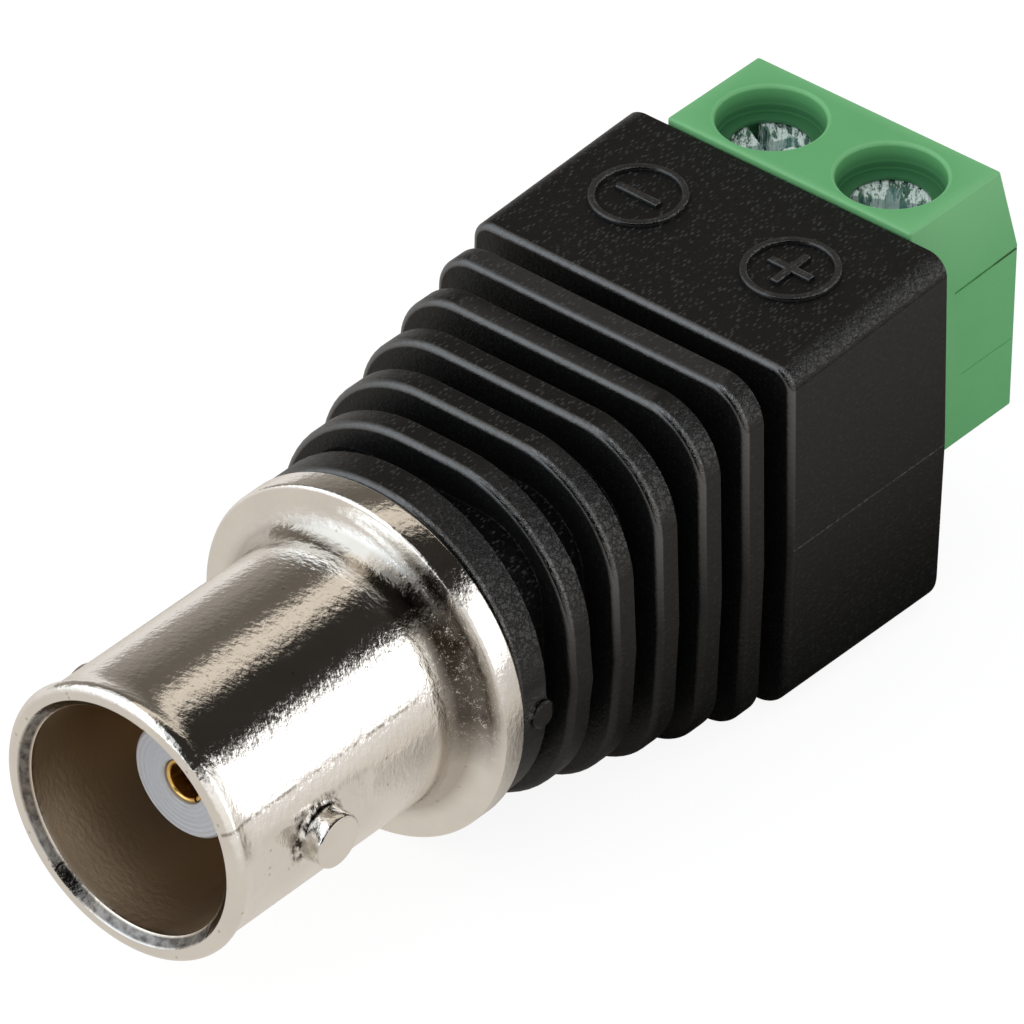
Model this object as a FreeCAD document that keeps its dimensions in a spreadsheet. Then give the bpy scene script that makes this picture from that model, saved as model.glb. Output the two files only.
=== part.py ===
import FreeCAD, Part

import math
import os

import Sketcher
from FreeCAD import Placement, Rotation, Vector

# A coaxial bayonet socket on a moulded plug body that carries a two-pole screw terminal block.
# The origin is the centre of the socket's mouth, +X points out of the mouth, +Z is up, and the
# plus pole lies on +Y. Distances along the object are counted backwards from the mouth, in mm.

doc = FreeCAD.newDocument("coaxial_terminal_adapter")

# Driving sizes: name, value and meaning.
SIZES = [
    # Socket shell
    ("barrel_r", 4.77, "outer radius of the barrel"),
    ("mouth_r", 4.08, "inner radius of the barrel"),
    ("lip_flare", 0.16, "reach of the flared lip past the barrel"),
    ("lip_length", 0.9, "length of the flare behind the lip"),
    ("lip_bevel", 0.32, "bevel inside the mouth"),
    ("lip_edge", 0.06, "bevel outside the mouth"),
    ("bore_depth", 8.9, "depth of the open socket"),
    ("seat_wall", 1.0, "wall behind the open socket that the insulator passes through"),
    ("flange_front", 10.99, "mouth to the front face of the flange"),
    ("flange_thickness", 1.05, "thickness of the flange"),
    ("flange_reach", 1.56, "reach of the flange past the barrel"),
    ("flange_bevel", 0.12, "bevels on the edges of the flange"),
    ("cove_r", 1.02, "concave round between barrel and flange"),
    ("tail_r", 4.2, "radius of the knurled tail inside the moulding"),
    ("tail_length", 6.9, "length of the tail behind the flange"),
    ("grip_depth", 0.45, "depth of the grip grooves in the tail"),
    ("grip_width", 1.0, "width of a grip groove"),
    ("grip_start", 1.6, "flange to the first grip groove"),
    ("grip_pitch", 2.5, "spacing of the grip grooves"),
    ("lug_behind", 4.07, "mouth to the axis of the bayonet lugs"),
    ("lug_r", 0.96, "radius of a bayonet lug"),
    ("lug_height", 0.73, "height of a bayonet lug past the barrel"),
    ("lug_bevel", 0.1, "bevel on the end of a lug"),
    ("flat_half", 1.15, "half width of the flat round a lug"),
    ("flat_start", 1.4, "mouth to the front of the flat"),
    ("flat_end", 6.45, "mouth to the rear of the flat"),
    ("shell_turn", -2.9, "turn of the shell about its axis, degrees"),
    ("seam_half", 0.06, "half width of the casting seam on the flange"),
    ("seam_height", 0.04, "height of the casting seam on the flange"),
    # Insulator and centre contact
    ("nose_r", 2.02, "radius of the insulator's nose"),
    ("nose_behind", 2.85, "mouth to the face of the insulator"),
    ("nose_bevel", 0.1, "bevel on the edge of the insulator's face"),
    ("shoulder_r", 2.6, "radius of the insulator behind the seat wall"),
    ("contact_r", 0.79, "radius of the centre contact"),
    ("contact_behind", 2.92, "mouth to the tip of the centre contact"),
    ("contact_end", 20.6, "mouth to the rear of the centre contact"),
    ("socket_r", 0.61, "radius of the hole for the mating pin"),
    ("socket_depth", 5.5, "depth of the hole for the mating pin"),
    ("collar_r", 1.2, "radius of the contact's collar behind the insulator"),
    ("collar_length", 0.5, "length of the collar"),
    ("slit_width", 0.12, "width of the spring slit in the contact"),
    ("slit_length", 4.0, "length of the spring slit"),
    ("slit_turn", -45.0, "turn of the slit about the axis, degrees"),
    ("cup_depth", 1.5, "depth of a solder hole"),
    ("cup_gap", 0.05, "radial gap of a wire in its solder hole"),
    ("cup_offset", 3.3, "axis of the socket to the shell's solder hole"),
    # Moulded body
    ("rib_count", 6, "number of grip ribs"),
    ("rib_thickness", 0.96, "thickness of a rib"),
    ("groove_width", 1.07, "gap between two ribs"),
    ("groove_depth", 1.15, "depth of the gap between two ribs"),
    ("first_rib", 1.34, "thickness of the rib at the flange"),
    ("rib_half_first", 6.2, "half width of the first rib"),
    ("rib_half_last", 6.66, "half width of the last rib"),
    ("rib_top_first", 6.37, "height of the first rib above the axis"),
    ("rib_top_last", 7.03, "height of the last rib above the axis"),
    ("rib_low_first", 6.15, "depth of the first rib below the axis"),
    ("rib_low_last", 6.55, "depth of the last rib below the axis"),
    ("rib_corner_first", 6.0, "corner radius of the first rib"),
    ("rib_corner_last", 1.55, "corner radius of the last rib"),
    ("rib_corner_flat", 0.05, "least flat left beside a rib's corner"),
    ("rib_edge", 0.2, "bevel on the front edge of a rib"),
    ("core_corner", 2.6, "corner radius of the core between the ribs"),
    ("block_length", 8.0, "length of the terminal carrier behind the ribs"),
    ("block_half_rear", 6.93, "half width of the carrier's rear at the seam"),
    ("block_half_taper", 0.05, "how much narrower the carrier's front is on each side"),
    ("block_top_rear", 7.34, "height of the carrier's rear"),
    ("block_top_taper", 0.34, "how much lower the carrier's top is at the front"),
    ("block_low_rear", 6.74, "depth of the carrier's rear"),
    ("block_low_taper", 0.08, "how much shallower the carrier is at the front"),
    ("side_draft_top", 1.25, "draft of the sides above the seam, degrees"),
    ("side_draft_low", 1.1, "draft of the sides below the seam, degrees"),
    ("block_corner_top", 0.8, "corner radius along the carrier's top"),
    ("block_corner_low", 1.25, "corner radius along the carrier's bottom"),
    ("block_edge", 0.22, "round on the front edge of the carrier"),
    ("block_back_edge", 0.12, "bevel on the rear edge of the carrier"),
    ("gate_r", 0.85, "radius of the gate nub on the first rib"),
    ("gate_behind", 0.96, "flange to the axis of the gate nub"),
    ("gate_proud", 0.05, "reach of the gate nub past the rib's side"),
    ("gate_root", 0.2, "depth of the gate nub's root in the core"),
    # Pole marks
    ("mark_behind", 4.25, "front of the carrier to the centre of the marks"),
    ("mark_side", 3.2, "axis to the centre of a mark"),
    ("mark_ring_r", 1.68, "outer radius of a mark's ring"),
    ("mark_ring_width", 0.27, "width of a mark's ring"),
    ("mark_height", 0.17, "height of the marks"),
    ("mark_root", 0.3, "depth of the marks' root in the moulding"),
    ("mark_bar", 0.88, "half length of a bar in the marks"),
    ("mark_bar_width", 0.32, "width of a bar in the marks"),
    # Terminal housing
    ("housing_width", 10.26, "width of the terminal housing"),
    ("housing_top", 7.5, "height of the housing's top above the axis"),
    ("housing_low", 2.47, "depth of the housing's bottom below the axis"),
    ("housing_ridge", 4.75, "carrier to the rear edge of the housing's top"),
    ("housing_depth", 5.86, "carrier to the housing's rear face"),
    ("slope_foot", 4.0, "height of the lower end of the rear slope"),
    ("rear_lean", 0.06, "lean of the rear face"),
    ("tongue_length", 2.3, "length of the housing's tongue inside the carrier"),
    ("tongue_half", 4.6, "half width of the tongue"),
    ("tongue_top", 6.3, "height of the tongue"),
    ("tongue_low", 1.9, "depth of the tongue below the axis"),
    ("housing_edge", 0.07, "small bevel on the housing's outer edges"),
    ("pole_pitch", 5.08, "spacing of the two poles"),
    ("pole_behind", 2.25, "carrier to the screw axes"),
    ("mouth_bevel", 0.13, "bevel at the mouth of a screw well"),
    ("well_r", 1.86, "radius of a screw well at its mouth"),
    ("well_step", 0.5, "depth of the step in a screw well"),
    ("well_foot_r", 1.78, "radius of a screw well at its foot"),
    ("well_depth", 1.02, "depth of a screw well"),
    ("keeper_r", 1.37, "radius of the hole in the ring that keeps the screw"),
    ("keeper_thickness", 0.12, "thickness of that ring"),
    ("chamber_floor", 0.57, "floor under the clamp chamber"),
    ("shelf_thickness", 0.28, "thickness of the shelf under a screw head"),
    ("shelf_gap", 0.1, "radial gap of the shank in that shelf"),
    ("entry_half", 1.7, "half width of a wire entry"),
    ("entry_top", 2.0, "height of a wire entry's top above the axis"),
    ("entry_low", 1.4, "depth of a wire entry's bottom below the axis"),
    ("entry_bevel", 0.3, "bevel round a wire entry"),
    ("side_seam_drop", 3.6, "housing's top to the seam in its side"),
    ("side_seam_length", 3.3, "length of the seam in the housing's side"),
    ("side_seam_width", 0.12, "width of the seam in the housing's side"),
    ("side_seam_depth", 0.1, "depth of the seam in the housing's side"),
    # Clamp screws, cages and contact strips
    ("head_r", 1.74, "radius of a screw head"),
    ("head_height", 1.0, "height of a screw head"),
    ("head_bevel", 0.1, "bevel on a screw head"),
    ("head_gap", 0.05, "gap between the screw head and the ring above it"),
    ("shank_r", 1.45, "radius of a screw shank"),
    ("shank_length", 3.66, "length of a screw shank"),
    ("shank_bevel", 0.25, "bevel on the end of a shank"),
    ("drive_width", 0.5, "width of the driver recess"),
    ("drive_depth", 0.75, "depth of the driver recess"),
    ("drive_half", 0.95, "half length of the short arms of the recess"),
    ("drive_turn_minus", 62.0, "turn of the minus screw's recess, degrees"),
    ("drive_turn_plus", 118.0, "turn of the plus screw's recess, degrees"),
    ("cage_size", 3.9, "outer width of a clamp cage"),
    ("cage_wall", 0.55, "side wall of a clamp cage"),
    ("cage_floor", 0.6, "floor of a clamp cage"),
    ("cage_low", 1.8, "depth of the open cage's bottom below the axis"),
    ("window_height", 2.9, "height of the window through a cage"),
    ("nut_height", 1.2, "height of the threaded part of a cage"),
    ("thread_gap", 0.05, "running gap between shank and cage"),
    ("slide_gap", 0.12, "running gap between cage and chamber"),
    ("strip_width", 2.4, "width of a contact strip under the screw"),
    ("strip_thickness", 0.6, "thickness of a contact strip"),
    ("strip_low", 1.0, "height of the strip's underside above the axis"),
    ("strip_reach", 3.7, "carrier to the far end of a strip"),
    ("strip_front", 0.3, "carrier to the near end of a strip's wide part"),
    ("pin_width", 1.0, "width of the pin of a strip"),
    ("pin_drop", 0.42, "depth of the pin's upper face below the axis"),
    ("pin_length", 3.0, "length of the pin's lower run"),
    ("pin_exit", 0.5, "tongue to the upright run of the pin"),
    # Leads and solder
    ("wire_r", 0.4, "radius of a lead"),
    ("bend_r", 1.6, "bend radius of a lead"),
    ("lead_straight", 0.6, "straight run of a lead before its first bend"),
    ("lead_slant", 30.0, "slant of a lead between its bends, degrees"),
    ("lap_length", 1.6, "lap of a lead on its pin"),
    ("solder_r", 1.05, "radius of a solder bead on a pin"),
    ("solder_length", 1.9, "length of a solder bead on a pin"),
    ("solder_bevel", 0.35, "bevel at the ends of a solder bead"),
    ("solder_lift", 0.12, "pin's upper face to the centre of the bead"),
    ("collar_solder_r", 0.75, "radius of a solder ring at a solder hole"),
    ("collar_solder_length", 0.35, "length of a solder ring"),
    # Fits and cuts
    ("cut_margin", 1.0, "reach of a through cut past the outside"),
    ("fit_gap", 0.02, "gap between pieces moulded or seated on each other"),
]

sheet = doc.addObject("Spreadsheet::Sheet", "Sizes")
VALUES = {}
for row, (alias, value, meaning) in enumerate(SIZES, start=1):
    sheet.set("A%d" % row, alias)
    sheet.set("B%d" % row, str(value))
    sheet.set("C%d" % row, meaning)
    sheet.setAlias("B%d" % row, alias)
    VALUES[alias] = value
doc.recompute()


class Size:
    """A size from the sheet or worked out from others: its formula and its value."""

    def __init__(self, text, value):
        self.text = text
        self.value = value

    def __add__(self, other):
        other = as_size(other)
        return Size("(%s + %s)" % (self.text, other.text), self.value + other.value)

    def __sub__(self, other):
        other = as_size(other)
        return Size("(%s - %s)" % (self.text, other.text), self.value - other.value)

    def __mul__(self, other):
        other = as_size(other)
        return Size("(%s * %s)" % (self.text, other.text), self.value * other.value)

    def __truediv__(self, other):
        other = as_size(other)
        return Size("(%s / %s)" % (self.text, other.text), self.value / other.value)

    def __neg__(self):
        return Size("(0 - %s)" % self.text, -self.value)


def as_size(item):
    """Return a size; a plain number is a count, a half or a double."""
    if isinstance(item, Size):
        return item
    return Size(repr(item), item)


def get(alias):
    """Return the size with this name in the sheet."""
    return Size("Sizes." + alias, VALUES[alias])


def root(size):
    """Return the square root of a size."""
    return Size("sqrt(%s)" % size.text, math.sqrt(size.value))


def slope_angle(rise, run):
    """Return the angle of a slope in degrees."""
    return Size("atan(%s / %s)" % (rise.text, run.text), math.degrees(math.atan2(rise.value, run.value)))


def tangent(angle):
    """Return the tangent of an angle in degrees."""
    return Size("tan(%s)" % angle.text, math.tan(math.radians(angle.value)))


def least(first, second):
    """Return the smaller of two sizes."""
    return Size("min(%s; %s)" % (first.text, second.text), min(first.value, second.value))


def between(first, last, share):
    """Return the size that lies at a share of the way between two others."""
    return first + (last - first) * share


NONE = as_size(0)


# Building blocks: bodies, sketches and features

def new_body(label):
    """Make an empty body with its own label."""
    body = doc.addObject("PartDesign::Body", label)
    body.Label = label
    return body


def origin_part(body, role):
    """Return an axis or a plane of the body's own origin."""
    return [item for item in body.Origin.OriginFeatures if item.Role == role][0]


def new_sketch(body, name, role, shift=NONE, along=NONE, turn=NONE):
    """Make a sketch on an origin plane, shifted off it and along it and turned about its normal."""
    sketch = body.newObject("Sketcher::SketchObject", name)
    sketch.AttachmentSupport = [(origin_part(body, role), "")]
    sketch.MapMode = "FlatFace"
    sketch.AttachmentOffset = Placement(
        Vector(along.value, 0, shift.value), Rotation(Vector(0, 0, 1), turn.value))
    sketch.setExpression("AttachmentOffset.Base.x", along.text)
    sketch.setExpression("AttachmentOffset.Base.z", shift.text)
    sketch.setExpression("AttachmentOffset.Rotation.Angle", turn.text)
    return sketch


def place_point(sketch, geometry, point, across, upward):
    """Hold a point of the sketch at two sizes from the sketch's origin."""
    number = sketch.addConstraint(
        Sketcher.Constraint("DistanceX", -1, 1, geometry, point, across.value))
    sketch.setExpression("Constraints[%d]" % number, across.text)
    number = sketch.addConstraint(
        Sketcher.Constraint("DistanceY", -1, 1, geometry, point, upward.value))
    sketch.setExpression("Constraints[%d]" % number, upward.text)


def draw_outline(sketch, corners):
    """Draw a closed outline through corners given as pairs of sizes."""
    corners = [(as_size(across), as_size(upward)) for across, upward in corners]
    points = [Vector(across.value, upward.value, 0) for across, upward in corners]
    first = sketch.GeometryCount
    count = len(points)
    for index in range(count):
        sketch.addGeometry(Part.LineSegment(points[index], points[(index + 1) % count]), False)
    for index in range(count):
        sketch.addConstraint(
            Sketcher.Constraint("Coincident", first + index, 2, first + (index + 1) % count, 1))
    for index, (across, upward) in enumerate(corners):
        place_point(sketch, first + index, 1, across, upward)


def draw_box(sketch, low_across, high_across, low_up, high_up):
    """Draw a rectangle between four sizes."""
    draw_outline(sketch, [
        (low_across, low_up), (high_across, low_up), (high_across, high_up), (low_across, high_up)])


def draw_circle(sketch, across, upward, radius):
    """Draw a circle at a pair of sizes."""
    across = as_size(across)
    upward = as_size(upward)
    centre = Vector(across.value, upward.value, 0)
    number = sketch.addGeometry(Part.Circle(centre, Vector(0, 0, 1), radius.value), False)
    place_point(sketch, number, 3, across, upward)
    held = sketch.addConstraint(Sketcher.Constraint("Radius", number, radius.value))
    sketch.setExpression("Constraints[%d]" % held, radius.text)


def extrude(body, kind, name, sketch, length, reverse=False, symmetric=False, draft=None):
    """Pad or pocket a sketch."""
    feature = body.newObject("PartDesign::" + kind, name)
    feature.Profile = sketch
    feature.Type = "Length"
    feature.Length = length.value
    feature.setExpression("Length", length.text)
    feature.Reversed = reverse
    if symmetric:
        feature.SideType = "Symmetric"
    if draft is not None:
        feature.TaperAngle = -draft.value
        feature.setExpression("TaperAngle", (-draft).text)
    sketch.Visibility = False
    doc.recompute()
    return feature


def revolve(body, kind, name, sketch, axis):
    """Turn a sketch all the way round one of its own axes, adding or cutting."""
    feature = body.newObject("PartDesign::" + kind, name)
    feature.Profile = sketch
    feature.ReferenceAxis = (sketch, [axis])
    feature.Angle = 360
    doc.recompute()
    return feature


def mirror_across(body, name, originals):
    """Repeat features on the other side of the middle plane."""
    feature = body.newObject("PartDesign::Mirrored", name)
    feature.Originals = originals
    feature.MirrorPlane = (origin_part(body, "XZ_Plane"), [""])
    body.Tip = feature
    doc.recompute()
    return feature


def edge_names(shape, wanted):
    """Return the names of the edges that the test picks."""
    return ["Edge%d" % (index + 1) for index, edge in enumerate(shape.Edges) if wanted(edge)]


def dress(body, kind, name, size, wanted):
    """Fillet or chamfer the picked edges of the body as it is so far."""
    base = body.Tip
    names = edge_names(base.Shape, wanted)
    feature = body.newObject("PartDesign::" + kind, name)
    feature.Base = (base, names)
    key = "Radius" if kind == "Fillet" else "Size"
    setattr(feature, key, size.value)
    feature.setExpression(key, size.text)
    doc.recompute()
    return feature


NEAR = 2e-3
FACE_LIMIT = 0.7


def on_plane(edge, axis, place):
    """Tell whether an edge lies in the plane across an axis (0, 1, 2) at this place."""
    box = edge.BoundBox
    low = (box.XMin, box.YMin, box.ZMin)[axis]
    high = (box.XMax, box.YMax, box.ZMax)[axis]
    return abs(low - place) < NEAR and abs(high - place) < NEAR


# Places that several pieces share, all counted backwards from the mouth

lip_r = get("barrel_r") + get("lip_flare")
flange_r = get("barrel_r") + get("flange_reach")
lug_reach = get("barrel_r") + get("lug_height")
flange_back = get("flange_front") + get("flange_thickness")
tail_end = flange_back + get("tail_length")
rib_start = flange_back + get("fit_gap")
rib_pitch = get("rib_thickness") + get("groove_width")
first_rib_back = flange_back + get("first_rib")
RIB_COUNT = int(VALUES["rib_count"])
last_rib_back = first_rib_back + rib_pitch * (get("rib_count") - 1)
block_front = last_rib_back + get("groove_width")
block_rear = block_front + get("block_length")
pole_axis = block_rear + get("pole_behind")
pole_half = get("pole_pitch") / 2
housing_rear = block_rear + get("housing_depth")
head_top = get("housing_top") - get("well_depth") - get("keeper_thickness") - get("head_gap")
head_low = head_top - get("head_height")
chamber_half = get("cage_size") / 2 + get("slide_gap")
cup_r = get("wire_r") + get("cup_gap")
collar_end = tail_end + get("fit_gap") + get("collar_length")
tongue_front = block_rear - get("tongue_length")
pin_up_back = tongue_front - get("pin_exit")
pin_up_front = pin_up_back - get("strip_thickness")
pin_end = pin_up_front - get("pin_length")
pin_top = -get("pin_drop")
lead_end = pin_end + get("lap_length")
bead_behind = pin_end + get("lap_length") / 2
bead_end = bead_behind + get("solder_length") / 2
bead_level = pin_top + get("solder_lift")


# Socket shell: turned barrel, flange and tail, with flats and bayonet lugs

def make_shell():
    """Make the socket shell."""
    body = new_body("bnc_shell")
    profile = new_sketch(body, "shell_profile", "XY_Plane")
    seat_end = get("bore_depth") + get("seat_wall")
    seat_r = get("nose_r") + get("fit_gap")
    inner_r = get("shoulder_r") + get("fit_gap")
    groove_r = get("tail_r") - get("grip_depth")
    first_groove = flange_back + get("grip_start")
    second_groove = first_groove + get("grip_pitch")
    draw_outline(profile, [
        (NONE, get("mouth_r") + get("lip_bevel")),
        (NONE, lip_r),
        (-get("lip_length"), get("barrel_r")),
        (-get("flange_front"), get("barrel_r")),
        (-get("flange_front"), flange_r),
        (-flange_back, flange_r),
        (-flange_back, get("tail_r")),
        (-first_groove, get("tail_r")),
        (-first_groove, groove_r),
        (-(first_groove + get("grip_width")), groove_r),
        (-(first_groove + get("grip_width")), get("tail_r")),
        (-second_groove, get("tail_r")),
        (-second_groove, groove_r),
        (-(second_groove + get("grip_width")), groove_r),
        (-(second_groove + get("grip_width")), get("tail_r")),
        (-tail_end, get("tail_r")),
        (-tail_end, inner_r),
        (-seat_end, inner_r),
        (-seat_end, seat_r),
        (-get("bore_depth"), seat_r),
        (-get("bore_depth"), get("mouth_r")),
        (-get("lip_bevel"), get("mouth_r")),
    ])
    revolve(body, "Revolution", "shell_turned", profile, "H_Axis")

    barrel_r = get("barrel_r").value
    front = -get("flange_front").value
    dress(body, "Fillet", "cove", get("cove_r"),
          lambda edge: on_plane(edge, 0, front) and abs(edge.BoundBox.YMax - barrel_r) < NEAR)
    dress(body, "Chamfer", "flange_edges", get("flange_bevel"),
          lambda edge: abs(edge.BoundBox.YMax - flange_r.value) < NEAR and edge.BoundBox.XLength < NEAR)
    dress(body, "Chamfer", "lip_edge", get("lip_edge"),
          lambda edge: on_plane(edge, 0, 0) and abs(edge.BoundBox.YMax - lip_r.value) < NEAR)

    flat_reach = root(get("barrel_r") * get("barrel_r") - get("flat_half") * get("flat_half"))
    flat_sketch = new_sketch(body, "flat_outline", "XZ_Plane", shift=-flat_reach)
    draw_box(flat_sketch, -get("flat_end"), -get("flat_start"), -get("barrel_r"), get("barrel_r"))
    flat = extrude(body, "Pocket", "flat", flat_sketch, get("barrel_r") - flat_reach, reverse=False)

    lug_foot = (get("mouth_r") + flat_reach) / 2
    lug_sketch = new_sketch(body, "lug_outline", "XZ_Plane", shift=-lug_foot)
    draw_circle(lug_sketch, -get("lug_behind"), NONE, get("lug_r"))
    lug = extrude(body, "Pad", "lug", lug_sketch, lug_reach - lug_foot, reverse=True)

    pair = body.newObject("PartDesign::PolarPattern", "both_sides")
    pair.Originals = [flat, lug]
    pair.Axis = (origin_part(body, "X_Axis"), [""])
    pair.Angle = 360
    pair.Occurrences = 2
    body.Tip = pair
    doc.recompute()

    reach = lug_reach.value
    dress(body, "Chamfer", "lug_ends", get("lug_bevel"),
          lambda edge: on_plane(edge, 1, reach) or on_plane(edge, 1, -reach))

    seam_sketch = new_sketch(body, "seam_outline", "YZ_Plane", shift=-flange_back)
    draw_box(seam_sketch, -get("seam_half"), get("seam_half"), get("barrel_r"),
             flange_r + get("seam_height"))
    extrude(body, "Pad", "casting_seam", seam_sketch, get("flange_thickness") + get("seam_height"))

    hole_sketch = new_sketch(body, "solder_hole_outline", "YZ_Plane", shift=-tail_end,
                             turn=-get("shell_turn"))
    draw_circle(hole_sketch, -get("cup_offset"), NONE, cup_r)
    extrude(body, "Pocket", "solder_hole", hole_sketch, get("cup_depth"), reverse=True)

    body.Placement = Placement(Vector(0, 0, 0), Rotation(Vector(1, 0, 0), VALUES["shell_turn"]))
    body.setExpression("Placement.Rotation.Angle", get("shell_turn").text)
    return body


# Insulator: a stepped sleeve that carries the centre contact

def make_insulator():
    """Make the insulating sleeve round the centre contact."""
    body = new_body("insulator")
    profile = new_sketch(body, "sleeve_profile", "XY_Plane")
    hole_r = get("contact_r") + get("fit_gap")
    step = get("bore_depth") + get("seat_wall") + get("fit_gap")
    draw_outline(profile, [
        (-get("nose_behind"), hole_r),
        (-get("nose_behind"), get("nose_r") - get("nose_bevel")),
        (-(get("nose_behind") + get("nose_bevel")), get("nose_r")),
        (-step, get("nose_r")),
        (-step, get("shoulder_r")),
        (-tail_end, get("shoulder_r")),
        (-tail_end, hole_r),
    ])
    revolve(body, "Revolution", "sleeve", profile, "H_Axis")
    return body


# Centre contact: socket for the mating pin in front, solder hole behind

def make_contact():
    """Make the centre contact."""
    body = new_body("center_contact")
    profile = new_sketch(body, "contact_profile", "XY_Plane")
    collar_front = tail_end + get("fit_gap")
    drill_tip = get("contact_behind") + get("socket_depth") + get("socket_r") / 2
    draw_outline(profile, [
        (-get("contact_behind"), get("socket_r")),
        (-get("contact_behind"), get("contact_r")),
        (-collar_front, get("contact_r")),
        (-collar_front, get("collar_r")),
        (-collar_end, get("collar_r")),
        (-collar_end, get("contact_r")),
        (-get("contact_end"), get("contact_r")),
        (-get("contact_end"), cup_r),
        (-(get("contact_end") - get("cup_depth")), cup_r),
        (-(get("contact_end") - get("cup_depth")), NONE),
        (-drill_tip, NONE),
        (-(get("contact_behind") + get("socket_depth")), get("socket_r")),
    ])
    revolve(body, "Revolution", "contact_turned", profile, "H_Axis")
    slit_sketch = new_sketch(body, "slit_outline", "XY_Plane")
    draw_box(slit_sketch, -(get("contact_behind") + get("slit_length")), -get("contact_behind"),
             -get("slit_width") / 2, get("slit_width") / 2)
    extrude(body, "Pocket", "slit", slit_sketch, get("contact_r"), reverse=True)
    body.Placement = Placement(Vector(0, 0, 0), Rotation(Vector(1, 0, 0), VALUES["slit_turn"]))
    body.setExpression("Placement.Rotation.Angle", get("slit_turn").text)
    return body


# Moulded body: core, ribs, terminal carrier, raised pole marks and the hollows for what it holds

def section_corners(half, top, low):
    """Return the six corners of a section that is widest at the seam on the axis plane."""
    lean_top = top * tangent(get("side_draft_top"))
    lean_low = low * tangent(get("side_draft_low"))
    return [
        (half, NONE), (half - lean_top, top), (-(half - lean_top), top),
        (-half, NONE), (-(half - lean_low), -low), (half - lean_low, -low),
    ]


def section_sketch(body, name, behind, half, top, low):
    """Draw a section of the moulding across the axis."""
    sketch = new_sketch(body, name, "YZ_Plane", shift=-behind)
    draw_outline(sketch, section_corners(half, top, low))
    return sketch


def lean_faces(body, name, angle, place, wanted):
    """Lean the picked faces towards the socket, holding their rear edges."""
    base = body.Tip
    faces = base.Shape.Faces
    names = ["Face%d" % (index + 1) for index, face in enumerate(faces) if wanted(face)]
    held = ["Face%d" % (index + 1) for index, face in enumerate(faces)
            if face.BoundBox.XLength < NEAR and abs(face.BoundBox.XMin + place.value) < NEAR]
    feature = body.newObject("PartDesign::Draft", name)
    feature.Base = (base, names)
    feature.NeutralPlane = (base, held[:1])
    feature.Angle = angle.value
    feature.setExpression("Angle", angle.text)
    doc.recompute()
    return feature


def runs_between(edge, front, back):
    """Tell whether an edge runs the whole way from one place to the other along the object."""
    box = edge.BoundBox
    return abs(box.XMax + front) < NEAR and abs(box.XMin + back) < NEAR


def corner_cut(sketch, reach, bevel, side):
    """Draw the triangle that bevels a rear edge of the carrier on one side of the axis."""
    outer = (reach + bevel) * side
    draw_outline(sketch, [
        (-(block_rear + bevel), (reach - bevel * 2) * side),
        (-(block_rear + bevel), outer),
        (-(block_rear - bevel * 2), outer)])


def mark_sketch(body, name, behind, level, slope):
    """Make a sketch under the carrier's top, square to its slope."""
    sketch = body.newObject("Sketcher::SketchObject", name)
    sketch.AttachmentSupport = [(origin_part(body, "XY_Plane"), "")]
    sketch.MapMode = "FlatFace"
    depth = level - get("mark_root")
    sketch.AttachmentOffset = Placement(
        Vector(-behind.value, 0, depth.value), Rotation(Vector(0, 1, 0), slope.value))
    sketch.setExpression("AttachmentOffset.Base.x", (-behind).text)
    sketch.setExpression("AttachmentOffset.Base.z", depth.text)
    sketch.setExpression("AttachmentOffset.Rotation.Angle", slope.text)
    return sketch


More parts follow.
